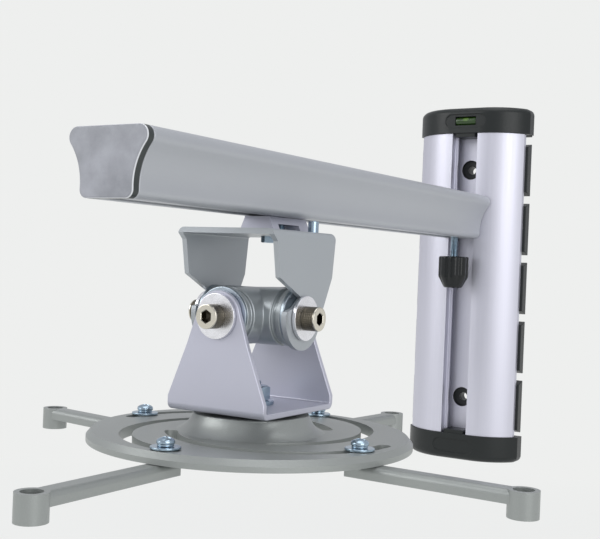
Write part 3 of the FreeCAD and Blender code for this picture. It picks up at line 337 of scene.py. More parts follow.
def grained_plastic(name, colour, roughness, grain, depth):
    """Height = distance to the nearest grain centre, plus a little soft noise."""
    finish = Finish(name, colour, 0.0, roughness, PLASTIC_SHEEN)
    cells = finish.node("ShaderNodeTexVoronoi", {}, {"Vector": finish.place(), "Scale": grain})
    soft = finish.noise(grain * SOFT_SHARE)
    wear = finish.noise(WEAR_TO_METRE)
    finish.emboss(cells + soft * SOFT_HEIGHT, depth)
    finish.feed("Roughness", ((soft - 0.5) * SOFT_GLOSS + (wear - 0.5) * WEAR_GLOSS + roughness).clamped())
    shade = (wear - 0.5) * WEAR_TONE + 0.5
    pair = shades(colour, PLASTIC_DARKER, PLASTIC_LIGHTER)
    finish.feed("Base Color", finish.mix(shade.clamped(), *pair))
    return finish.material


BLACK = grained_plastic("black_moulding", tone("1b1f1f"), 0.36, 1700.0, 0.00003)
GLOSSY_BLACK = grained_plastic("knob_moulding", tone("141718"), 0.22, 2400.0, 0.00001)
# Near-black nylon: partly the washer's own colour, partly painted shade of the thin gap it fills under the
# lower bracket.
NYLON_AND_GAP_SHADE = grained_plastic("nylon_and_gap_shade", tone("2a2d30"), 0.5, 2200.0, 0.00002)
print("plastics:", BLACK.name, GLOSSY_BLACK.name, NYLON_AND_GAP_SHADE.name)

# %% [markdown]
# ## The arm's front cap
# The cap on the arm's end has a smooth pale face, a painted highlight along its rounded edge
# and a nearly black side. Two pieces could meet there, but it is one moulding with a painted
# face, so one finish changes colour with depth: pale on the face, a painted highlight on the
# rounded edge, dark behind it. The face is a little smudged, which is a slow noise on its
# colour and gloss.

# %% Cap with a pale face and a dark side
CAP_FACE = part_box("arm_front_cap")[0].y
HIGHLIGHT_STARTS, SIDE_STARTS, PAINT_BLUR = 0.0001, 0.0008, 0.0002
SMUDGES_TO_METRE, SMUDGE_ROUGH = 48.0, 0.62
SMUDGE_TONE, SMUDGE_LEVEL, SMUDGE_GLOSS, FACE_GLOSS = 2.4, 0.55, 0.35, 0.34
CAP_GRAIN_TO_METRE, CAP_GRAIN_DEPTH = 900.0, 0.00001

cap = Finish("front_cap_moulding", tone("a4a6ac"), 0.0, 0.3)
depth = cap.place().split()[1] - CAP_FACE
# Painted highlight: a light band on the rounded edge, from 0.1 mm to 0.8 mm behind the face.
painted_edge_highlight = ((depth - HIGHLIGHT_STARTS) / PAINT_BLUR).clamped()
side = ((depth - SIDE_STARTS) / PAINT_BLUR).clamped()
smudge = cap.noise(SMUDGES_TO_METRE, 5.0, None, SMUDGE_ROUGH)
smudged = ((smudge - 0.5) * SMUDGE_TONE + SMUDGE_LEVEL).clamped()
cloudy = cap.mix(smudged, tone("787b81"), tone("9d9fa7"))
# The light grey d2d4d8 is the painted highlight of the rounded edge.
cap.feed("Base Color", cap.mix(side, cap.mix(painted_edge_highlight, cloudy, tone("d2d4d8")), tone("2a3030")))
cap.feed("Roughness", ((smudge - 0.5) * SMUDGE_GLOSS + FACE_GLOSS).clamped())
cap.emboss(cap.noise(CAP_GRAIN_TO_METRE), CAP_GRAIN_DEPTH)
CAP_GREY = cap.material
print("cap face at y =", round(CAP_FACE, 4))

# %% [markdown]
# ## Plated hardware
# Screws are turned, then plated: bluish zinc on the small ones, warm nickel on the tilt
# screws, and the big washers are polished. Turning leaves fine marks, and plating clouds a
# little, which is all that a plated surface needs to stop looking like a chrome ball.

# %% Plated metal with a slight cloud
PLATING_CLOUDS_TO_METRE, TURNING_TO_METRE = 140.0, 2600.0
TURNING_GLOSS, TURNING_DEPTH = 0.1, 0.000008
PLATING_DARKER, PLATING_CONTRAST, PLATING_LEVEL = 0.8, 1.2, 0.6


def plated(name, colour, roughness, cloudiness):
    """Roughness and colour waver with two sizes of noise."""
    finish = Finish(name, colour, 1.0, roughness)
    cloud = finish.noise(PLATING_CLOUDS_TO_METRE, 3.0)
    fine = finish.noise(TURNING_TO_METRE)
    gloss = (cloud - 0.5) * cloudiness + (fine - 0.5) * TURNING_GLOSS + roughness
    shade = (cloud - 0.5) * PLATING_CONTRAST + PLATING_LEVEL
    finish.feed("Roughness", gloss.clamped())
    finish.feed("Base Color", finish.mix(shade.clamped(), *shades(colour, PLATING_DARKER, 1.0)))
    finish.emboss(fine, TURNING_DEPTH)
    return finish.material


ZINC = plated("bluish_zinc", tone("a9bccb"), 0.22, 0.25)
NICKEL = plated("warm_nickel", tone("b3ada0"), 0.16, 0.2)
POLISHED = plated("polished_steel", tone("f6f6fa"), 0.27, 0.1)
RING = plated("turned_ring", tone("b4bfc8"), 0.3, 0.2)
STEEL = plated("bare_steel", tone("8d9193"), 0.38, 0.3)
print("plating:", ZINC.name, NICKEL.name, POLISHED.name, RING.name, STEEL.name)

# %% [markdown]
# ## The level's green liquid
# A clear tube full of green spirit looks like a green rod with a pale bubble at its middle.
# Real glass over black plastic would swallow the light, so the rod is a coated green that is
# a little lighter where the bubble floats.

# %% Green vial
SPIRIT, BUBBLE = tone("1e3a0a"), tone("4c6c26")
BUBBLE_LONG, BUBBLE_HIGH, BUBBLE_RISE, BUBBLE_EDGE = 0.0024, 0.0013, 0.0012, 1.4
VIAL_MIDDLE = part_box("level_vial")[0].lerp(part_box("level_vial")[1], 0.5)

vial = Finish("green_spirit", SPIRIT, 0.0, 0.14, {"Coat Weight": 0.3})
along, _, high = vial.place().split()
reach = (
    ((along - VIAL_MIDDLE.x) / BUBBLE_LONG) ** 2.0
    + ((high - VIAL_MIDDLE.z - BUBBLE_RISE) / BUBBLE_HIGH) ** 2.0
)
vial.feed("Base Color", vial.mix((BUBBLE_EDGE - reach).clamped(), SPIRIT, BUBBLE))
GREEN = vial.material
print("vial middle", [round(part, 4) for part in VIAL_MIDDLE])

# %% [markdown]
# ## Edges that catch the light
# Pressed sheet, castings and mouldings all have small rounded edges. The quickest true way is
# to take the solid's own surface, join its loose triangles, melt the flat ones together and
# let a Bevel modifier round every edge that turns more than thirty degrees. Curved walls
# turn less than that from facet to facet, so they stay as they are and are shaded smooth.

# %% A softened copy of a solid
BODY_OF = {
    node: body
    for body, members in frame["record"]["behaviour"]["bodies"].items()
    for node in members
}
SLOT_OF = {entry["node"]: entry["material_slot"] for entry in frame["record"]["subparts"]}
JOIN_WITHIN = 0.000002
FLAT_WITHIN = math.radians(1.0)
SHARP_BEYOND = math.radians(30.0)


def settle(piece, node):
    """The piece rides with the node's body and stands for it."""
    bpy.context.scene.collection.objects.link(piece)
    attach(piece, BODY_OF[node])
    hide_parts(node)


def softened(node, material, width):
    """The solid's surface, merged, with its edges rounded to a width; stands for the node."""
    mesh = NODES[node].data.copy()
    mesh.name = node + "_skin"
    for name in [item.name for item in mesh.attributes if item.name == "custom_normal"]:
        mesh.attributes.remove(mesh.attributes[name])
    work = bmesh.new()
    work.from_mesh(mesh)
    bmesh.ops.remove_doubles(work, verts=work.verts, dist=JOIN_WITHIN)
    bmesh.ops.dissolve_degenerate(work, edges=work.edges, dist=JOIN_WITHIN)
    bmesh.ops.dissolve_limit(
        work, angle_limit=FLAT_WITHIN, verts=work.verts, edges=work.edges, delimit={"NORMAL"},
    )
    work.to_mesh(mesh)
    work.free()
    mesh.shade_smooth()
    mesh.set_sharp_from_angle(angle=SHARP_BEYOND)
    mesh.materials.clear()
    mesh.materials.append(material)
    piece = bpy.data.objects.new(node + "_skin", mesh)
    bevel = piece.modifiers.new("soft_edge", "BEVEL")
    bevel.width = width
    bevel.segments = 2
    bevel.limit_method = "ANGLE"
    bevel.angle_limit = SHARP_BEYOND
    bevel.miter_outer = "MITER_ARC"
    bevel.loop_slide = False
    flat = piece.modifiers.new("flat_faces", "WEIGHTED_NORMAL")
    flat.keep_sharp = True
    settle(piece, node)


LEG_NAMES = ("front", "right", "back", "left")
SOFT = [
    ("column_extrusion", COLUMN, 0.0004), ("rear_plate", BLACK, 0.0004),
    ("top_cap", BLACK, 0.0005), ("bottom_cap", BLACK, 0.0005),
    ("arm_extrusion", ARM_GREY, 0.0004), ("arm_front_cap", CAP_GREY, 0.0007),
    ("arm_end_plate", ARM_GREY, 0.0004),
    ("trolley_shoe", BRACKET, 0.0004), ("upper_bracket", UPPER, 0.0004),
    ("lower_bracket", BRACKET, 0.0004), ("cross_block", BLOCK, 0.0005),
    ("disc_plate", DISC_GREY, 0.0006),
]
SOFT += [("leg_" + name, DISC_GREY, 0.0007) for name in LEG_NAMES]
for node, material, width in SOFT:
    softened(node, material, width)
print("softened pieces:", len(SOFT))

# %% [markdown]
# ## Surfaces from grids
# A turned part is a profile swept about an axis: its points make a grid of rows along the
# profile and spokes round the axis. Numpy fills the whole grid in one sum, and because
# height and radius may both vary with the spoke, the same grid makes a knurl, a hexagon, a
# fluted knob or a thread. A screw modifier turns a profile too, but knows only round parts.

# %% Profiles and grids
NEARLY_HALF, BEYOND = 0.49, 1.4


def rounded(corners, size, steps=5):
    """Profile corners (height, radius), each turned into B(t) = (1-t)^2 A + 2t(1-t) P + t^2 B.

    P is the corner, A and B lie a size away from it along the profile. One more point beyond
    each of them keeps the shading of the straight stretches flat.
    """
    corners = np.asarray(corners, float)
    before, at, after = corners[:-2], corners[1:-1], corners[2:]

    def toward(other, reach):
        way = other - at
        length = np.linalg.norm(way, axis=1, keepdims=True)
        return (at + way * np.minimum(reach / length, NEARLY_HALF))[:, None]

    t = np.linspace(0.0, 1.0, steps)[None, :, None]
    start, stop = toward(before, size), toward(after, size)
    bend = (1 - t) ** 2 * start + 2 * t * (1 - t) * at[:, None] + t ** 2 * stop
    first, last = toward(before, size * BEYOND), toward(after, size * BEYOND)
    rows = np.concatenate([first, bend, last], axis=1)
    return np.concatenate([corners[:1], rows.reshape(-1, 2), corners[-1:]])


def full_turn(spokes):
    """Angles round the axis, one for each spoke, as a row."""
    return np.linspace(0.0, 2 * np.pi, spokes, endpoint=False)[None]


def round_about(seat, axis, height, radius, spokes):
    """Point(row, t) = seat + axis * height + (side * cos t + across * sin t) * radius."""
    axis = np.asarray(axis, float)
    side = np.array((1.0, 0.0, 0.0)) if abs(axis[0]) < 0.9 else np.array((0.0, 1.0, 0.0))
    across = np.cross(axis, side)
    t = full_turn(spokes)[0]
    ring = np.outer(np.cos(t), side) + np.outer(np.sin(t), across)
    height, radius = (np.broadcast_to(part, (len(height), spokes)) for part in (height, radius))
    return np.asarray(seat) + height[..., None] * axis + radius[..., None] * ring


print("profiles and grids ready")

# %% [markdown]
# ## From a grid to a piece
# Each grid closes round its spokes, so its last column of faces joins its first. Rows that
# shrink to a point on the axis are welded there, and the normals are then turned outwards.
# Each piece takes its place and size from the box of the solid that it stands for, so it can
# never drift away from the construction.

# %% Meshes and places
WELD_WITHIN = 0.0000005
CREASE_BEYOND = math.radians(38.0)
UP, DOWN = (0, 0, 1), (0, 0, -1)


def surface(name, grids, material, solid=True):
    """Grids of points (rows, spokes, 3), each closed round its spokes, as one mesh of quads."""
    quads, first = [], 0
    for grid in grids:
        rows, spokes = grid.shape[:2]
        number = first + np.arange(rows * spokes).reshape(rows, spokes)
        number = np.concatenate([number, number[:, :1]], axis=1)
        quads.append(np.stack(
            [number[:-1, :-1], number[:-1, 1:], number[1:, 1:], number[1:, :-1]], axis=-1,
        ).reshape(-1, 4))
        first += rows * spokes
    points = np.concatenate([grid.reshape(-1, 3) for grid in grids])
    mesh = bpy.data.meshes.new(name)
    mesh.from_pydata(points, [], np.concatenate(quads))
    work = bmesh.new()
    work.from_mesh(mesh)
    bmesh.ops.remove_doubles(work, verts=work.verts, dist=WELD_WITHIN)
    bmesh.ops.dissolve_degenerate(work, edges=work.edges, dist=WELD_WITHIN)
    if solid:
        bmesh.ops.recalc_face_normals(work, faces=work.faces)
    work.to_mesh(mesh)
    work.free()
    mesh.shade_smooth()
    if solid:
        mesh.set_sharp_from_angle(angle=CREASE_BEYOND)
    mesh.materials.append(material)
    return bpy.data.objects.new(name, mesh)


def stand_for(node, grids, material):
    """A surface that rides with a node's body and stands for the node."""
    settle(surface(node + "_skin", grids, material), node)


def span(node):
    """Low corner, high corner and middle of a node's box."""
    low, high = (np.array(corner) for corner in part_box(node))
    return low, high, (low + high) / 2


def upright(node):
    """Middle of a node's underside, its height and half its width, for what stands along Z."""
    low, high, middle = span(node)
    return np.array((middle[0], middle[1], low[2])), high[2] - low[2], (high[0] - low[0]) / 2


print("surface tools ready")

# %% [markdown]
# ## Washers
# A stamped washer has softly broken edges, and the friction washers at the ends of the
# barrels are turned rings with a larger rounding. A closed profile swept round makes both.

# %% Rings
SPOKES = 96
BORE_GAP = 0.00015
CLAMP_RADIUS, TILT_RADIUS, SWIVEL_RADIUS = 0.0025, 0.004, 0.005
TILT_WASHER_THICKNESS = 0.002


def ring(seat, axis, thickness, screw_radius, outer, soft):
    """A washer: the closed profile of its section, rounded, swept about its axis."""
    inner = screw_radius + BORE_GAP
    section = [
        (thickness * 0.5, inner), (thickness, inner), (thickness, outer),
        (0.0, outer), (0.0, inner), (thickness * 0.5, inner),
    ]
    rows = rounded(section, soft)
    return round_about(seat, axis, rows[:, :1], rows[:, 1:], SPOKES)


for name in LEG_NAMES:
    seat, tall, outer = upright("clamp_washer_" + name)
    stand_for("clamp_washer_" + name, [ring(seat, UP, tall, CLAMP_RADIUS, outer, 0.00035)], ZINC)
for node, material, soft in (
    ("pitch_washers", POLISHED, 0.0003), ("roll_washers", POLISHED, 0.0003),
    ("pitch_friction_washers", RING, 0.0004), ("roll_friction_washers", RING, 0.0004),
):
    low, high, middle = span(node)
    along = int(np.argmax(high - low))
    reach, outer = (high - low)[along] / 2, (high - low)[2] / 2
    axis = np.eye(3)[along]
    stand_for(node, [
        ring(
            middle + axis * sign * (reach - TILT_WASHER_THICKNESS), axis * sign,
            TILT_WASHER_THICKNESS, TILT_RADIUS, outer, soft,
        )
        for sign in (1, -1)
    ], material)
seat, tall, outer = upright("swivel_washer")
stand_for("swivel_washer", [ring(seat, UP, tall, SWIVEL_RADIUS, outer, 0.0003)], ZINC)
print("washers made")

# %% [markdown]
# ## Spring washers
# A spring washer is one turn of square wire, cut and sprung open: a section carried along a
# helix, with a blunt end either side of the split.

# %% Split coils
SPRING_RISE, SPRING_SPLIT, SPRING_SOFT = 0.0003, 0.09, 0.00015
STATIONS, CORNER_STEPS = 72, 6


def coil(seat, inner, outer, thickness):
    """Section carried along a helix: height(t) = rise * t / turn, t from the split round to it."""
    width = (outer - inner) / 2
    turn = np.linspace(SPRING_SPLIT, 2 * np.pi - SPRING_SPLIT, STATIONS)
    quarter = np.linspace(0.0, np.pi / 2, CORNER_STEPS)
    bend = np.concatenate([quarter + step * np.pi / 2 for step in range(4)])
    signs = np.repeat([[1, 1], [-1, 1], [-1, -1], [1, -1]], CORNER_STEPS, axis=0)
    half = np.array([width - SPRING_SOFT, (thickness - SPRING_RISE) / 2 - SPRING_SOFT])
    section = signs * half + SPRING_SOFT * np.stack([np.cos(bend), np.sin(bend)], axis=-1)
    size = np.ones(STATIONS)
    size[[0, -1]] = 0.0
    turn[[0, -1]] = turn[[1, -2]]
    radius = (outer + inner) / 2 + section[None, :, 0] * size[:, None]
    climb = SPRING_RISE * (turn / (2 * np.pi) - 0.5)[:, None]
    height = thickness / 2 + climb + section[None, :, 1] * size[:, None]
    angle = (turn + np.pi / 2)[:, None]
    points = np.stack([radius * np.cos(angle), radius * np.sin(angle), height], axis=-1)
    return np.asarray(seat) + points


for name in LEG_NAMES:
    seat, tall, outer = upright("clamp_spring_" + name)
    stand_for("clamp_spring_" + name, [coil(seat, CLAMP_RADIUS + BORE_GAP, outer, tall)], ZINC)
print("spring washers made")

# %% [markdown]
# ## Rolled threads
# A thread is rolled into a screw's shank as a ridge that climbs one pitch with each turn. A
# helix of its own could be joined to a rod, but on a grid it is simpler: the radius follows a
# wave whose phase moves on with the height, so the ridge climbs by itself.

# %% Threads
THREAD_ROWS, THREAD_SPOKES = 8, 48
INTO_HEAD = 0.0003
CLAMP_THREAD = {"radius": CLAMP_RADIUS, "pitch": 0.0008, "depth": 0.00035}


def thread(seat, axis, length, radius, pitch, depth):
    """radius(h, t) = radius - depth * (1 + cos(2 pi h / pitch - t)) / 2.

    Over one pitch at either end it fades to the core, which is radius - depth.
    """
    rows = int(length / pitch * THREAD_ROWS)
    height = np.linspace(0.0, length, rows)[:, None]
    wave = (1 + np.cos(2 * np.pi * height / pitch - full_turn(THREAD_SPOKES))) / 2
    fade = np.clip(np.minimum(height, length - height) / pitch, 0.0, 1.0)
    body = radius - depth * (wave * fade + (1 - fade))
    height = np.concatenate([height[:1], height, height[-1:]])
    body = np.concatenate([body[:1] * 0, body, body[-1:] * 0])
    return round_about(seat, axis, height, body, THREAD_SPOKES)


print("threads ready, with", THREAD_ROWS, "rows to a pitch")

# %% [markdown]
# ## The screws of the legs
# Each leg is clamped by a pan-head screw with a cross recess. The recess could be cut with a
# boolean, but the head is a grid whose height is a formula, so the cross is one more term: a
# dent wherever a point lies inside one of the two arms, fading towards their ends.

# %% Pan heads
PAN_TALL = 0.0032
CROSS_SPAN, CROSS_ARM, CROSS_DEPTH, CROSS_WALL, CROSS_RAMP = 0.0056, 0.0012, 0.0016, 0.00022, 2.2
DOME_ROWS, DOME_EDGE, DOME_CURVE, DOME_DROP = 30, 0.97, 0.42, 0.16
RIM_TOP, RIM_FOOT, RIM_SOFT = 0.42, 0.30, 0.0003


def pan_head(seat, radius):
    """A dome with a cross pressed in: height = tall * (1 - 0.42 r^2 - 0.16 r^8) - recess(x, y).

    r is the share of the head's radius, up to 0.97, where the rounded rim begins.
    """
    t = full_turn(SPOKES)
    out = (np.linspace(0.0, 1.0, DOME_ROWS)[:, None] * DOME_EDGE) * np.ones_like(t)
    x, y = np.abs(out * radius * np.cos(t)), np.abs(out * radius * np.sin(t))
    near, far = np.minimum(x, y), np.maximum(x, y)
    across = np.clip((CROSS_ARM / 2 - near) / CROSS_WALL, 0.0, 1.0)
    along = np.clip((CROSS_SPAN / 2 - far) / (CROSS_SPAN / 2) * CROSS_RAMP, 0.0, 1.0)
    dome = PAN_TALL * (1 - DOME_CURVE * out ** 2 - DOME_DROP * out ** 8)
    top = dome - CROSS_DEPTH * across * along
    rim = rounded([
        (PAN_TALL * RIM_TOP, radius * DOME_EDGE), (PAN_TALL * RIM_FOOT, radius), (0.0, radius), (0.0, 0.0),
    ], RIM_SOFT)
    height = np.concatenate([top, np.broadcast_to(rim[:, :1], (len(rim), SPOKES))])
    width = np.concatenate([out * radius, np.broadcast_to(rim[:, 1:], (len(rim), SPOKES))])
    return round_about(seat, UP, height, width, SPOKES)


for name in LEG_NAMES:
    low, high, middle = span("clamp_screw_" + name)
    foot = np.array((middle[0], middle[1], low[2]))
    seat = np.array((middle[0], middle[1], high[2] - PAN_TALL))
    stand_for("clamp_screw_" + name, [
        pan_head(seat, (high[0] - low[0]) / 2),
        thread(foot, UP, seat[2] - foot[2] + INTO_HEAD, **CLAMP_THREAD),
    ], ZINC)
print("leg screws made:", len(LEG_NAMES))

# %% [markdown]
# ## The tilt screws
# The tilt screws are socket screws with a diamond knurl. A knurl is two sets of slanting
# grooves that cross, which is the sum of one wave round the head and one along it, so it too
# is a term in the radius. The socket is the radius of a hexagon, followed down its walls.

# %% Socket heads
TILT_HEAD = {
    "tall": 0.008, "radius": 0.0065, "key": 0.006, "key_depth": 0.0045,
    "soft": 0.0006, "knurl": 0.00022, "spokes": 180,
}
LOCK_HEAD = {
    "tall": 0.0065, "radius": 0.003, "key": 0.003, "key_depth": 0.0025,
    "soft": 0.0003, "knurl": 0.0, "spokes": 96,
}
TILT_THREAD = {"radius": TILT_RADIUS, "pitch": 0.00125, "depth": 0.0004}
TILT_THREAD_START, LOCK_THREAD_LENGTH = 0.009, 0.0093
FLANK_ROWS, KNURL_WAVES, KNURL_STARTS, KNURL_RAMP = 36, 36, 0.0008, 0.0006
FACE_SHARE, MOUTH_SHARE, MOUTH_DEPTH, CONE_DEPTH = 0.68, 1.10, 0.0003, 0.0008


def hexagonal(flats, t):
    """Radius of a hexagon with its flats so far apart, at angle t."""
    return flats / 2 / np.cos((t + np.pi / 6) % (np.pi / 3) - np.pi / 6)


def socket_head(seat, axis, tall, radius, key, key_depth, soft, knurl, spokes):
    """A cylinder head with radius - knurl * (1 - (cos(n t) + cos(n h / radius)) / 2) / 2.

    A hexagon is sunk in its face, with a slanting mouth and a cone at its end.
    """
    t = full_turn(spokes)
    rows = rounded([(0.0, 0.0), (0.0, radius), (tall, radius), (tall, radius * FACE_SHARE)], soft)
    flank = np.linspace(soft * 2, tall - soft * 2, FLANK_ROWS)
    half = len(rows) // 2
    flank = np.stack([flank, np.full(FLANK_ROWS, radius)], axis=-1)
    rows = np.concatenate([rows[:half], flank, rows[half:]])
    height, body = rows[:, :1], rows[:, 1:]
    pattern = (np.cos(KNURL_WAVES * t) + np.cos(KNURL_WAVES * height / radius)) / 2
    from_seat = np.clip((height - KNURL_STARTS) / KNURL_RAMP, 0, 1)
    from_face = np.clip((tall - KNURL_STARTS - height) / KNURL_RAMP, 0, 1)
    body = body - knurl * (from_seat * from_face) * (1 - pattern) / 2
    inside = [
        (tall, MOUTH_SHARE), (tall - MOUTH_DEPTH, 1.0),
        (tall - key_depth, 1.0), (tall - key_depth - CONE_DEPTH, 0.0),
    ]
    walls = np.concatenate([hexagonal(key, t) * size for _, size in inside])
    floors = np.array([[level] for level, _ in inside])
    height = np.concatenate([np.broadcast_to(height, body.shape), np.broadcast_to(floors, walls.shape)])
    return round_about(seat, axis, height, np.concatenate([body, walls]), spokes)


print("socket heads ready, with", KNURL_WAVES, "grooves round")

# %% [markdown]
# ## Nickel with a shaded knurl
# Shade and a little oil sit in a knurl and make it look darker than the smooth face. The
# grooves are real here, but too fine for the light alone to show that, so the finish darkens
# between two distances from the middle of the cross block, along the screw's own axis.

# %% Tilt screws and lock screw
BRIGHT_NICKEL, OIL_AND_SHADE_NICKEL = tone("d8d3c6"), tone("5e594e")
NICKEL_ROUGHNESS, OIL_ROUGHNESS, NICKEL_CLOUD = 0.15, 0.08, 0.2
BAND_BLUR, BAND_BEHIND, BAND_BEFORE = 0.0004, 0.001, 0.0007


def knurled_nickel(name, along, middle, start, stop):
    """Nickel with oil and painted shade, dark where start < distance from the middle, along one axis, <
    stop.
    """
    finish = Finish(name, BRIGHT_NICKEL, 1.0, NICKEL_ROUGHNESS)
    cloud = finish.noise(PLATING_CLOUDS_TO_METRE, 3.0)
    distance = (finish.place().split()[along] - float(middle[along])).math("ABSOLUTE")
    band = ((distance - start) / BAND_BLUR).clamped() * ((stop - distance) / BAND_BLUR).clamped()
    gloss = (cloud - 0.5) * NICKEL_CLOUD + band * OIL_ROUGHNESS + NICKEL_ROUGHNESS
    # Painted shade, with a little oil: the knurled band is darkened in colour.
    finish.feed("Base Color", finish.mix(band, BRIGHT_NICKEL, OIL_AND_SHADE_NICKEL))
    finish.feed("Roughness", gloss.clamped())
    finish.emboss(finish.noise(TURNING_TO_METRE), TURNING_DEPTH)
    return finish.material


for node in ("pitch_screws", "roll_screws"):
    low, high, middle = span(node)
    along = int(np.argmax(high - low))
    reach = (high - low)[along] / 2
    seat = reach - TILT_HEAD["tall"]
    nickel = knurled_nickel("nickel_" + node, along, middle, seat - BAND_BEHIND, reach - BAND_BEFORE)
    length = seat - TILT_THREAD_START + INTO_HEAD
    grids = []
    for sign in (1, -1):
        axis = np.eye(3)[along] * sign
        grids.append(socket_head(middle + axis * seat, axis, **TILT_HEAD))
        grids.append(thread(middle + axis * TILT_THREAD_START, axis, length, **TILT_THREAD))
    stand_for(node, grids, nickel)
foot, tall, _ = upright("lock_screw")
head_seat = foot + (0, 0, tall - LOCK_HEAD["tall"])
stand_for("lock_screw", [
    socket_head(head_seat, UP, **LOCK_HEAD),
    thread(foot, UP, LOCK_THREAD_LENGTH, **CLAMP_THREAD),
], ZINC)
print("tilt screws and lock screw made")

# %% [markdown]
# ## Bolts and nuts
# The swivel bolt, its nut and the two trolley bolts are hexagons with the corners turned off
# at thirty degrees, which leaves the round arcs that one sees on every nut. The corner's
# height follows from its radius, so one formula cuts all six.

# %% Hexagons
SWIVEL_FLATS, SWIVEL_HEAD, SWIVEL_THREAD_START = 0.017, 0.006, 0.0058
SWIVEL_THREAD = {"radius": SWIVEL_RADIUS, "pitch": 0.0015, "depth": 0.0005}
TROLLEY_FLATS, TROLLEY_HEAD, TROLLEY_REACH = 0.008, 0.0035, 0.0046
STUD_THREAD = {"radius": 0.003, "pitch": 0.001, "depth": 0.00035}
CUT_SHARE, DISC_SHARE = 0.97, 0.95


def hexagon_head(seat, axis, flats, tall, both):
    """height(t) = tall - (r(t) - 0.97 * flats / 2) * tan 30, r(t) the hexagon's radius.

    The flat top is a disc of 0.95 of the flats' width. Both says that the underside is cut too.
    """
    six = hexagonal(flats, full_turn(SPOKES))
    cut = (six - flats / 2 * CUT_SHARE) * math.tan(math.radians(30.0))
    disc = np.full_like(six, flats / 2 * DISC_SHARE)
    radius = np.concatenate([disc * 0, disc, six, six, disc, disc * 0])
    under = cut if both else cut * 0
    height = np.concatenate([disc * 0, disc * 0, under, tall - cut, disc * 0 + tall, disc * 0 + tall])
    return round_about(seat, axis, height, radius, SPOKES)


foot, tall, _ = upright("swivel_nut")
stand_for("swivel_nut", [hexagon_head(foot, UP, SWIVEL_FLATS, tall, True)], ZINC)
foot, tall, _ = upright("swivel_bolt")
stand_for("swivel_bolt", [
    hexagon_head(foot + (0, 0, SWIVEL_HEAD), DOWN, SWIVEL_FLATS, SWIVEL_HEAD, False),
    thread(foot + (0, 0, SWIVEL_THREAD_START), UP, tall - SWIVEL_THREAD_START, **SWIVEL_THREAD),
], ZINC)
low, high, middle = span("trolley_bolts")
reach = (high[1] - low[1]) / 2 - TROLLEY_REACH
grids = []
for sign in (1, -1):
    seat = np.array((middle[0], middle[1] + sign * reach, low[2] + TROLLEY_HEAD))
    grids.append(hexagon_head(seat, DOWN, TROLLEY_FLATS, TROLLEY_HEAD, False))
    grids.append(thread(seat - (0, 0, INTO_HEAD), UP, high[2] - seat[2] + INTO_HEAD, **CLAMP_THREAD))
stand_for("trolley_bolts", grids, ZINC)
foot, tall, _ = upright("knob_stud")
stand_for("knob_stud", [thread(foot, UP, tall, **STUD_THREAD)], ZINC)
print("bolts and nuts made")

# %% [markdown]
# ## The hand knob
# Eight soft flutes give the fingers a hold, and the lower end tapers. The flutes are a power
# of a cosine, which is wide and round on the ridges and narrow in the valleys, and they fade
# out where the grip ends.

# %% Fluted knob
TAIL, TAPER, GRIP_END, KNOB_EDGE = 0.00675, 0.0085, 0.0055, 0.0014
FLUTES, FLUTE_DEPTH, FLUTE_POWER, FLUTE_START, FLUTE_RAMP = 8, 0.001, 3, 2.6, 4
STUD_BORE, BORE_RIM, BORE_DEPTH = 0.0031, 0.003, 0.008
KNOB_SPOKES, KNOB_STEPS = 192, 7

foot, tall, grip = upright("hand_knob")
rows = rounded([
    (0.0, 0.0), (0.0, TAIL), (TAPER, grip), (TAPER + GRIP_END, grip),
    (tall - GRIP_END, grip), (tall, grip), (tall, STUD_BORE + BORE_RIM),
    (tall, STUD_BORE), (tall - BORE_DEPTH, STUD_BORE), (tall - BORE_DEPTH, 0.0),
], KNOB_EDGE, KNOB_STEPS)
height, width = rows[:, :1], rows[:, 1:]
valley = ((1 + np.cos(FLUTES * full_turn(KNOB_SPOKES))) / 2) ** FLUTE_POWER
along_taper = np.clip(height / TAPER, 0.0, 1.0)
near_grip = np.clip(width / grip * FLUTE_RAMP - FLUTE_START, 0.0, 1.0)
fluted = width - FLUTE_DEPTH * valley * (along_taper * near_grip)
stand_for("hand_knob", [round_about(foot, UP, height, fluted, KNOB_SPOKES)], GLOSSY_BLACK)
print("knob", round(tall, 4), "m tall")

# %% [markdown]
# ## The level
# The vial is a clear tube with rounded ends, closed at both and full of green spirit. It lies
# along X, so its profile is swept about that axis.

# %% Vial
VIAL_SOFT, VIAL_STEPS, VIAL_SPOKES = 0.0012, 7, 64
low, high, middle = span("level_vial")
length, radius = high[0] - low[0], (high[2] - low[2]) / 2
rows = rounded([(0.0, 0.0), (0.0, radius), (length, radius), (length, 0.0)], VIAL_SOFT, VIAL_STEPS)
end = (low[0], middle[1], middle[2])
stand_for("level_vial", [
    round_about(end, (1, 0, 0), rows[:, :1], rows[:, 1:], VIAL_SPOKES),
], GREEN)
print("vial", round(length, 4), "m long")

# %% [markdown]
# ## Solids that only need their finish
# What lies inside, or is too small for its edges to show, keeps its solid and gets the right
# material. Every solid gets one, also those that a piece above stands for.

# %% Finishes for the solids that stay
SLOT_FINISH = {
    "satin_silver": COLUMN, "black_plastic": BLACK, "level_green": GREEN, "plain_steel": STEEL,
    "arm_grey": ARM_GREY, "cap_grey": CAP_GREY, "bracket_silver": BRACKET, "block_grey": BLOCK,
    "disc_grey": DISC_GREY, "zinc_screw": ZINC, "nickel_screw": NICKEL,
    "polished_washer": POLISHED, "dark_washer": NYLON_AND_GAP_SHADE,
}
for node, solid in NODES.items():
    solid.data.materials.clear()
    solid.data.materials.append(SLOT_FINISH[SLOT_OF[node]])
print("finished solids:", len(NODES))

# %% [markdown]
# ## Light
# A mount hangs in the air, as in a light tent: a pale room all round, and large soft lamps to
# the left, to the right and above. An HDR picture could light it too, but needs a file. The
# camera sees the room's own pale colour, and the room lights the object a little less
# brightly than that, so that the greys keep their depth.

# %% Pale room
PALE = tone("eeefee")
ROOM_TINT, ROOM_STRENGTH = (0.95, 0.96, 1.0), 0.66

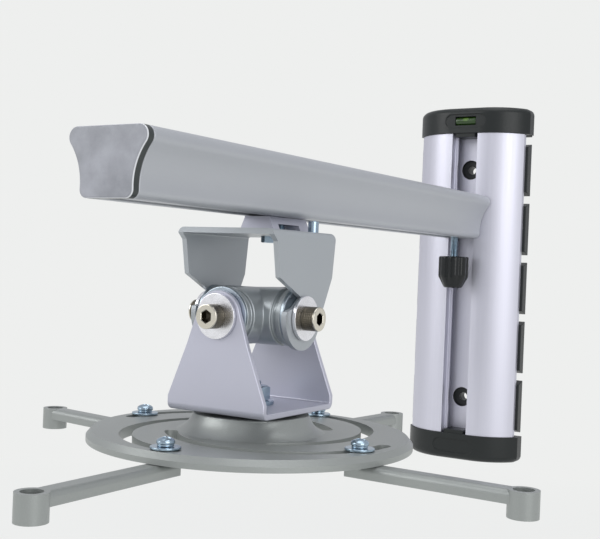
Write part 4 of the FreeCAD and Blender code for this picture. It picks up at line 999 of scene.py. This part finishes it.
world = bpy.data.worlds.new("pale_room")
bpy.context.scene.world = world
world.use_nodes = True
room = Tree(world.node_tree)
world.node_tree.nodes.remove(world.node_tree.nodes["Background"])
seen = room.node("ShaderNodeBackground", {}, {"Color": (*PALE, 1.0)})
lit = room.node("ShaderNodeBackground", {}, {"Color": (*ROOM_TINT, 1.0), "Strength": ROOM_STRENGTH})
to_camera = room.node("ShaderNodeLightPath", {}, {}, "Is Camera Ray")
through_glass = room.node("ShaderNodeLightPath", {}, {}, "Is Transmission Ray")
either = to_camera.math("MAXIMUM", through_glass)
room.close(room.node("ShaderNodeMixShader", {}, {0: either, 1: lit, 2: seen}))


def lamp(name, spot, aim, size, power):
    """A square soft lamp at a spot, turned to a point."""
    data = bpy.data.lights.new(name, "AREA")
    data.size = size
    data.energy = power
    piece = bpy.data.objects.new(name, data)
    bpy.context.scene.collection.objects.link(piece)
    piece.location = spot
    piece.rotation_euler = (Vector(aim) - Vector(spot)).to_track_quat("-Z", "Y").to_euler()


lamp("key_left", (-1.15, -1.3, 0.7), (0.0, -0.2, 0.0), 1.0, 9.5)
lamp("fill_right", (1.5, -1.1, 0.5), (0.0, -0.2, 0.0), 1.2, 11.0)
lamp("top", (0.1, -0.3, 1.5), (0.0, -0.25, 0.0), 1.2, 7.0)
print("lamps:", len(bpy.data.lights))

# %% [markdown]
# ## Floor
# The floor lies well below the object and holds its faint shadow. A plane to the horizon would
# show an edge, so the floor glows more and more with distance, up to the backdrop's colour.

# %% Floor that fades into the room
FLOOR_LEVEL, FLOOR_MIDDLE_Y, FLOOR_REACH = -0.30, -0.25, 9.0
FLOOR_RINGS, FLOOR_SPOKES = 40, 96
GLOW_NEAR, GLOW_STARTS, GLOW_RUN = 0.65, 0.25, 0.8

radius = np.linspace(0.0, 1.0, FLOOR_RINGS) ** 2 * FLOOR_REACH
angle = full_turn(FLOOR_SPOKES)[0]
spots = np.stack([
    np.outer(radius, np.cos(angle)),
    np.outer(radius, np.sin(angle)) + FLOOR_MIDDLE_Y,
    np.full((FLOOR_RINGS, FLOOR_SPOKES), FLOOR_LEVEL),
], axis=-1)

ground = Finish("pale_floor", PALE, 0.0, 0.8)
ground_x, ground_y, _ = ground.place().split()
distance = (ground_x ** 2.0 + (ground_y - FLOOR_MIDDLE_Y) ** 2.0) ** 0.5
share = ((distance - GLOW_STARTS) / GLOW_RUN * (1 - GLOW_NEAR) + GLOW_NEAR).clamped()
painted = Field(ground, ground.shader.outputs[0])
glow = ground.node("ShaderNodeEmission", {}, {"Color": (*PALE, 1.0)})
ground.close(ground.node("ShaderNodeMixShader", {}, {0: share, 1: painted, 2: glow}))
floor = surface("floor", [spots], ground.material, solid=False)
bpy.context.scene.collection.objects.link(floor)
print("floor at", FLOOR_LEVEL)

# %% [markdown]
# ## Hand over
# The picture should show light as it is, so the view transform is Standard.

# %% View transform
bpy.context.scene.view_settings.view_transform = "Standard"
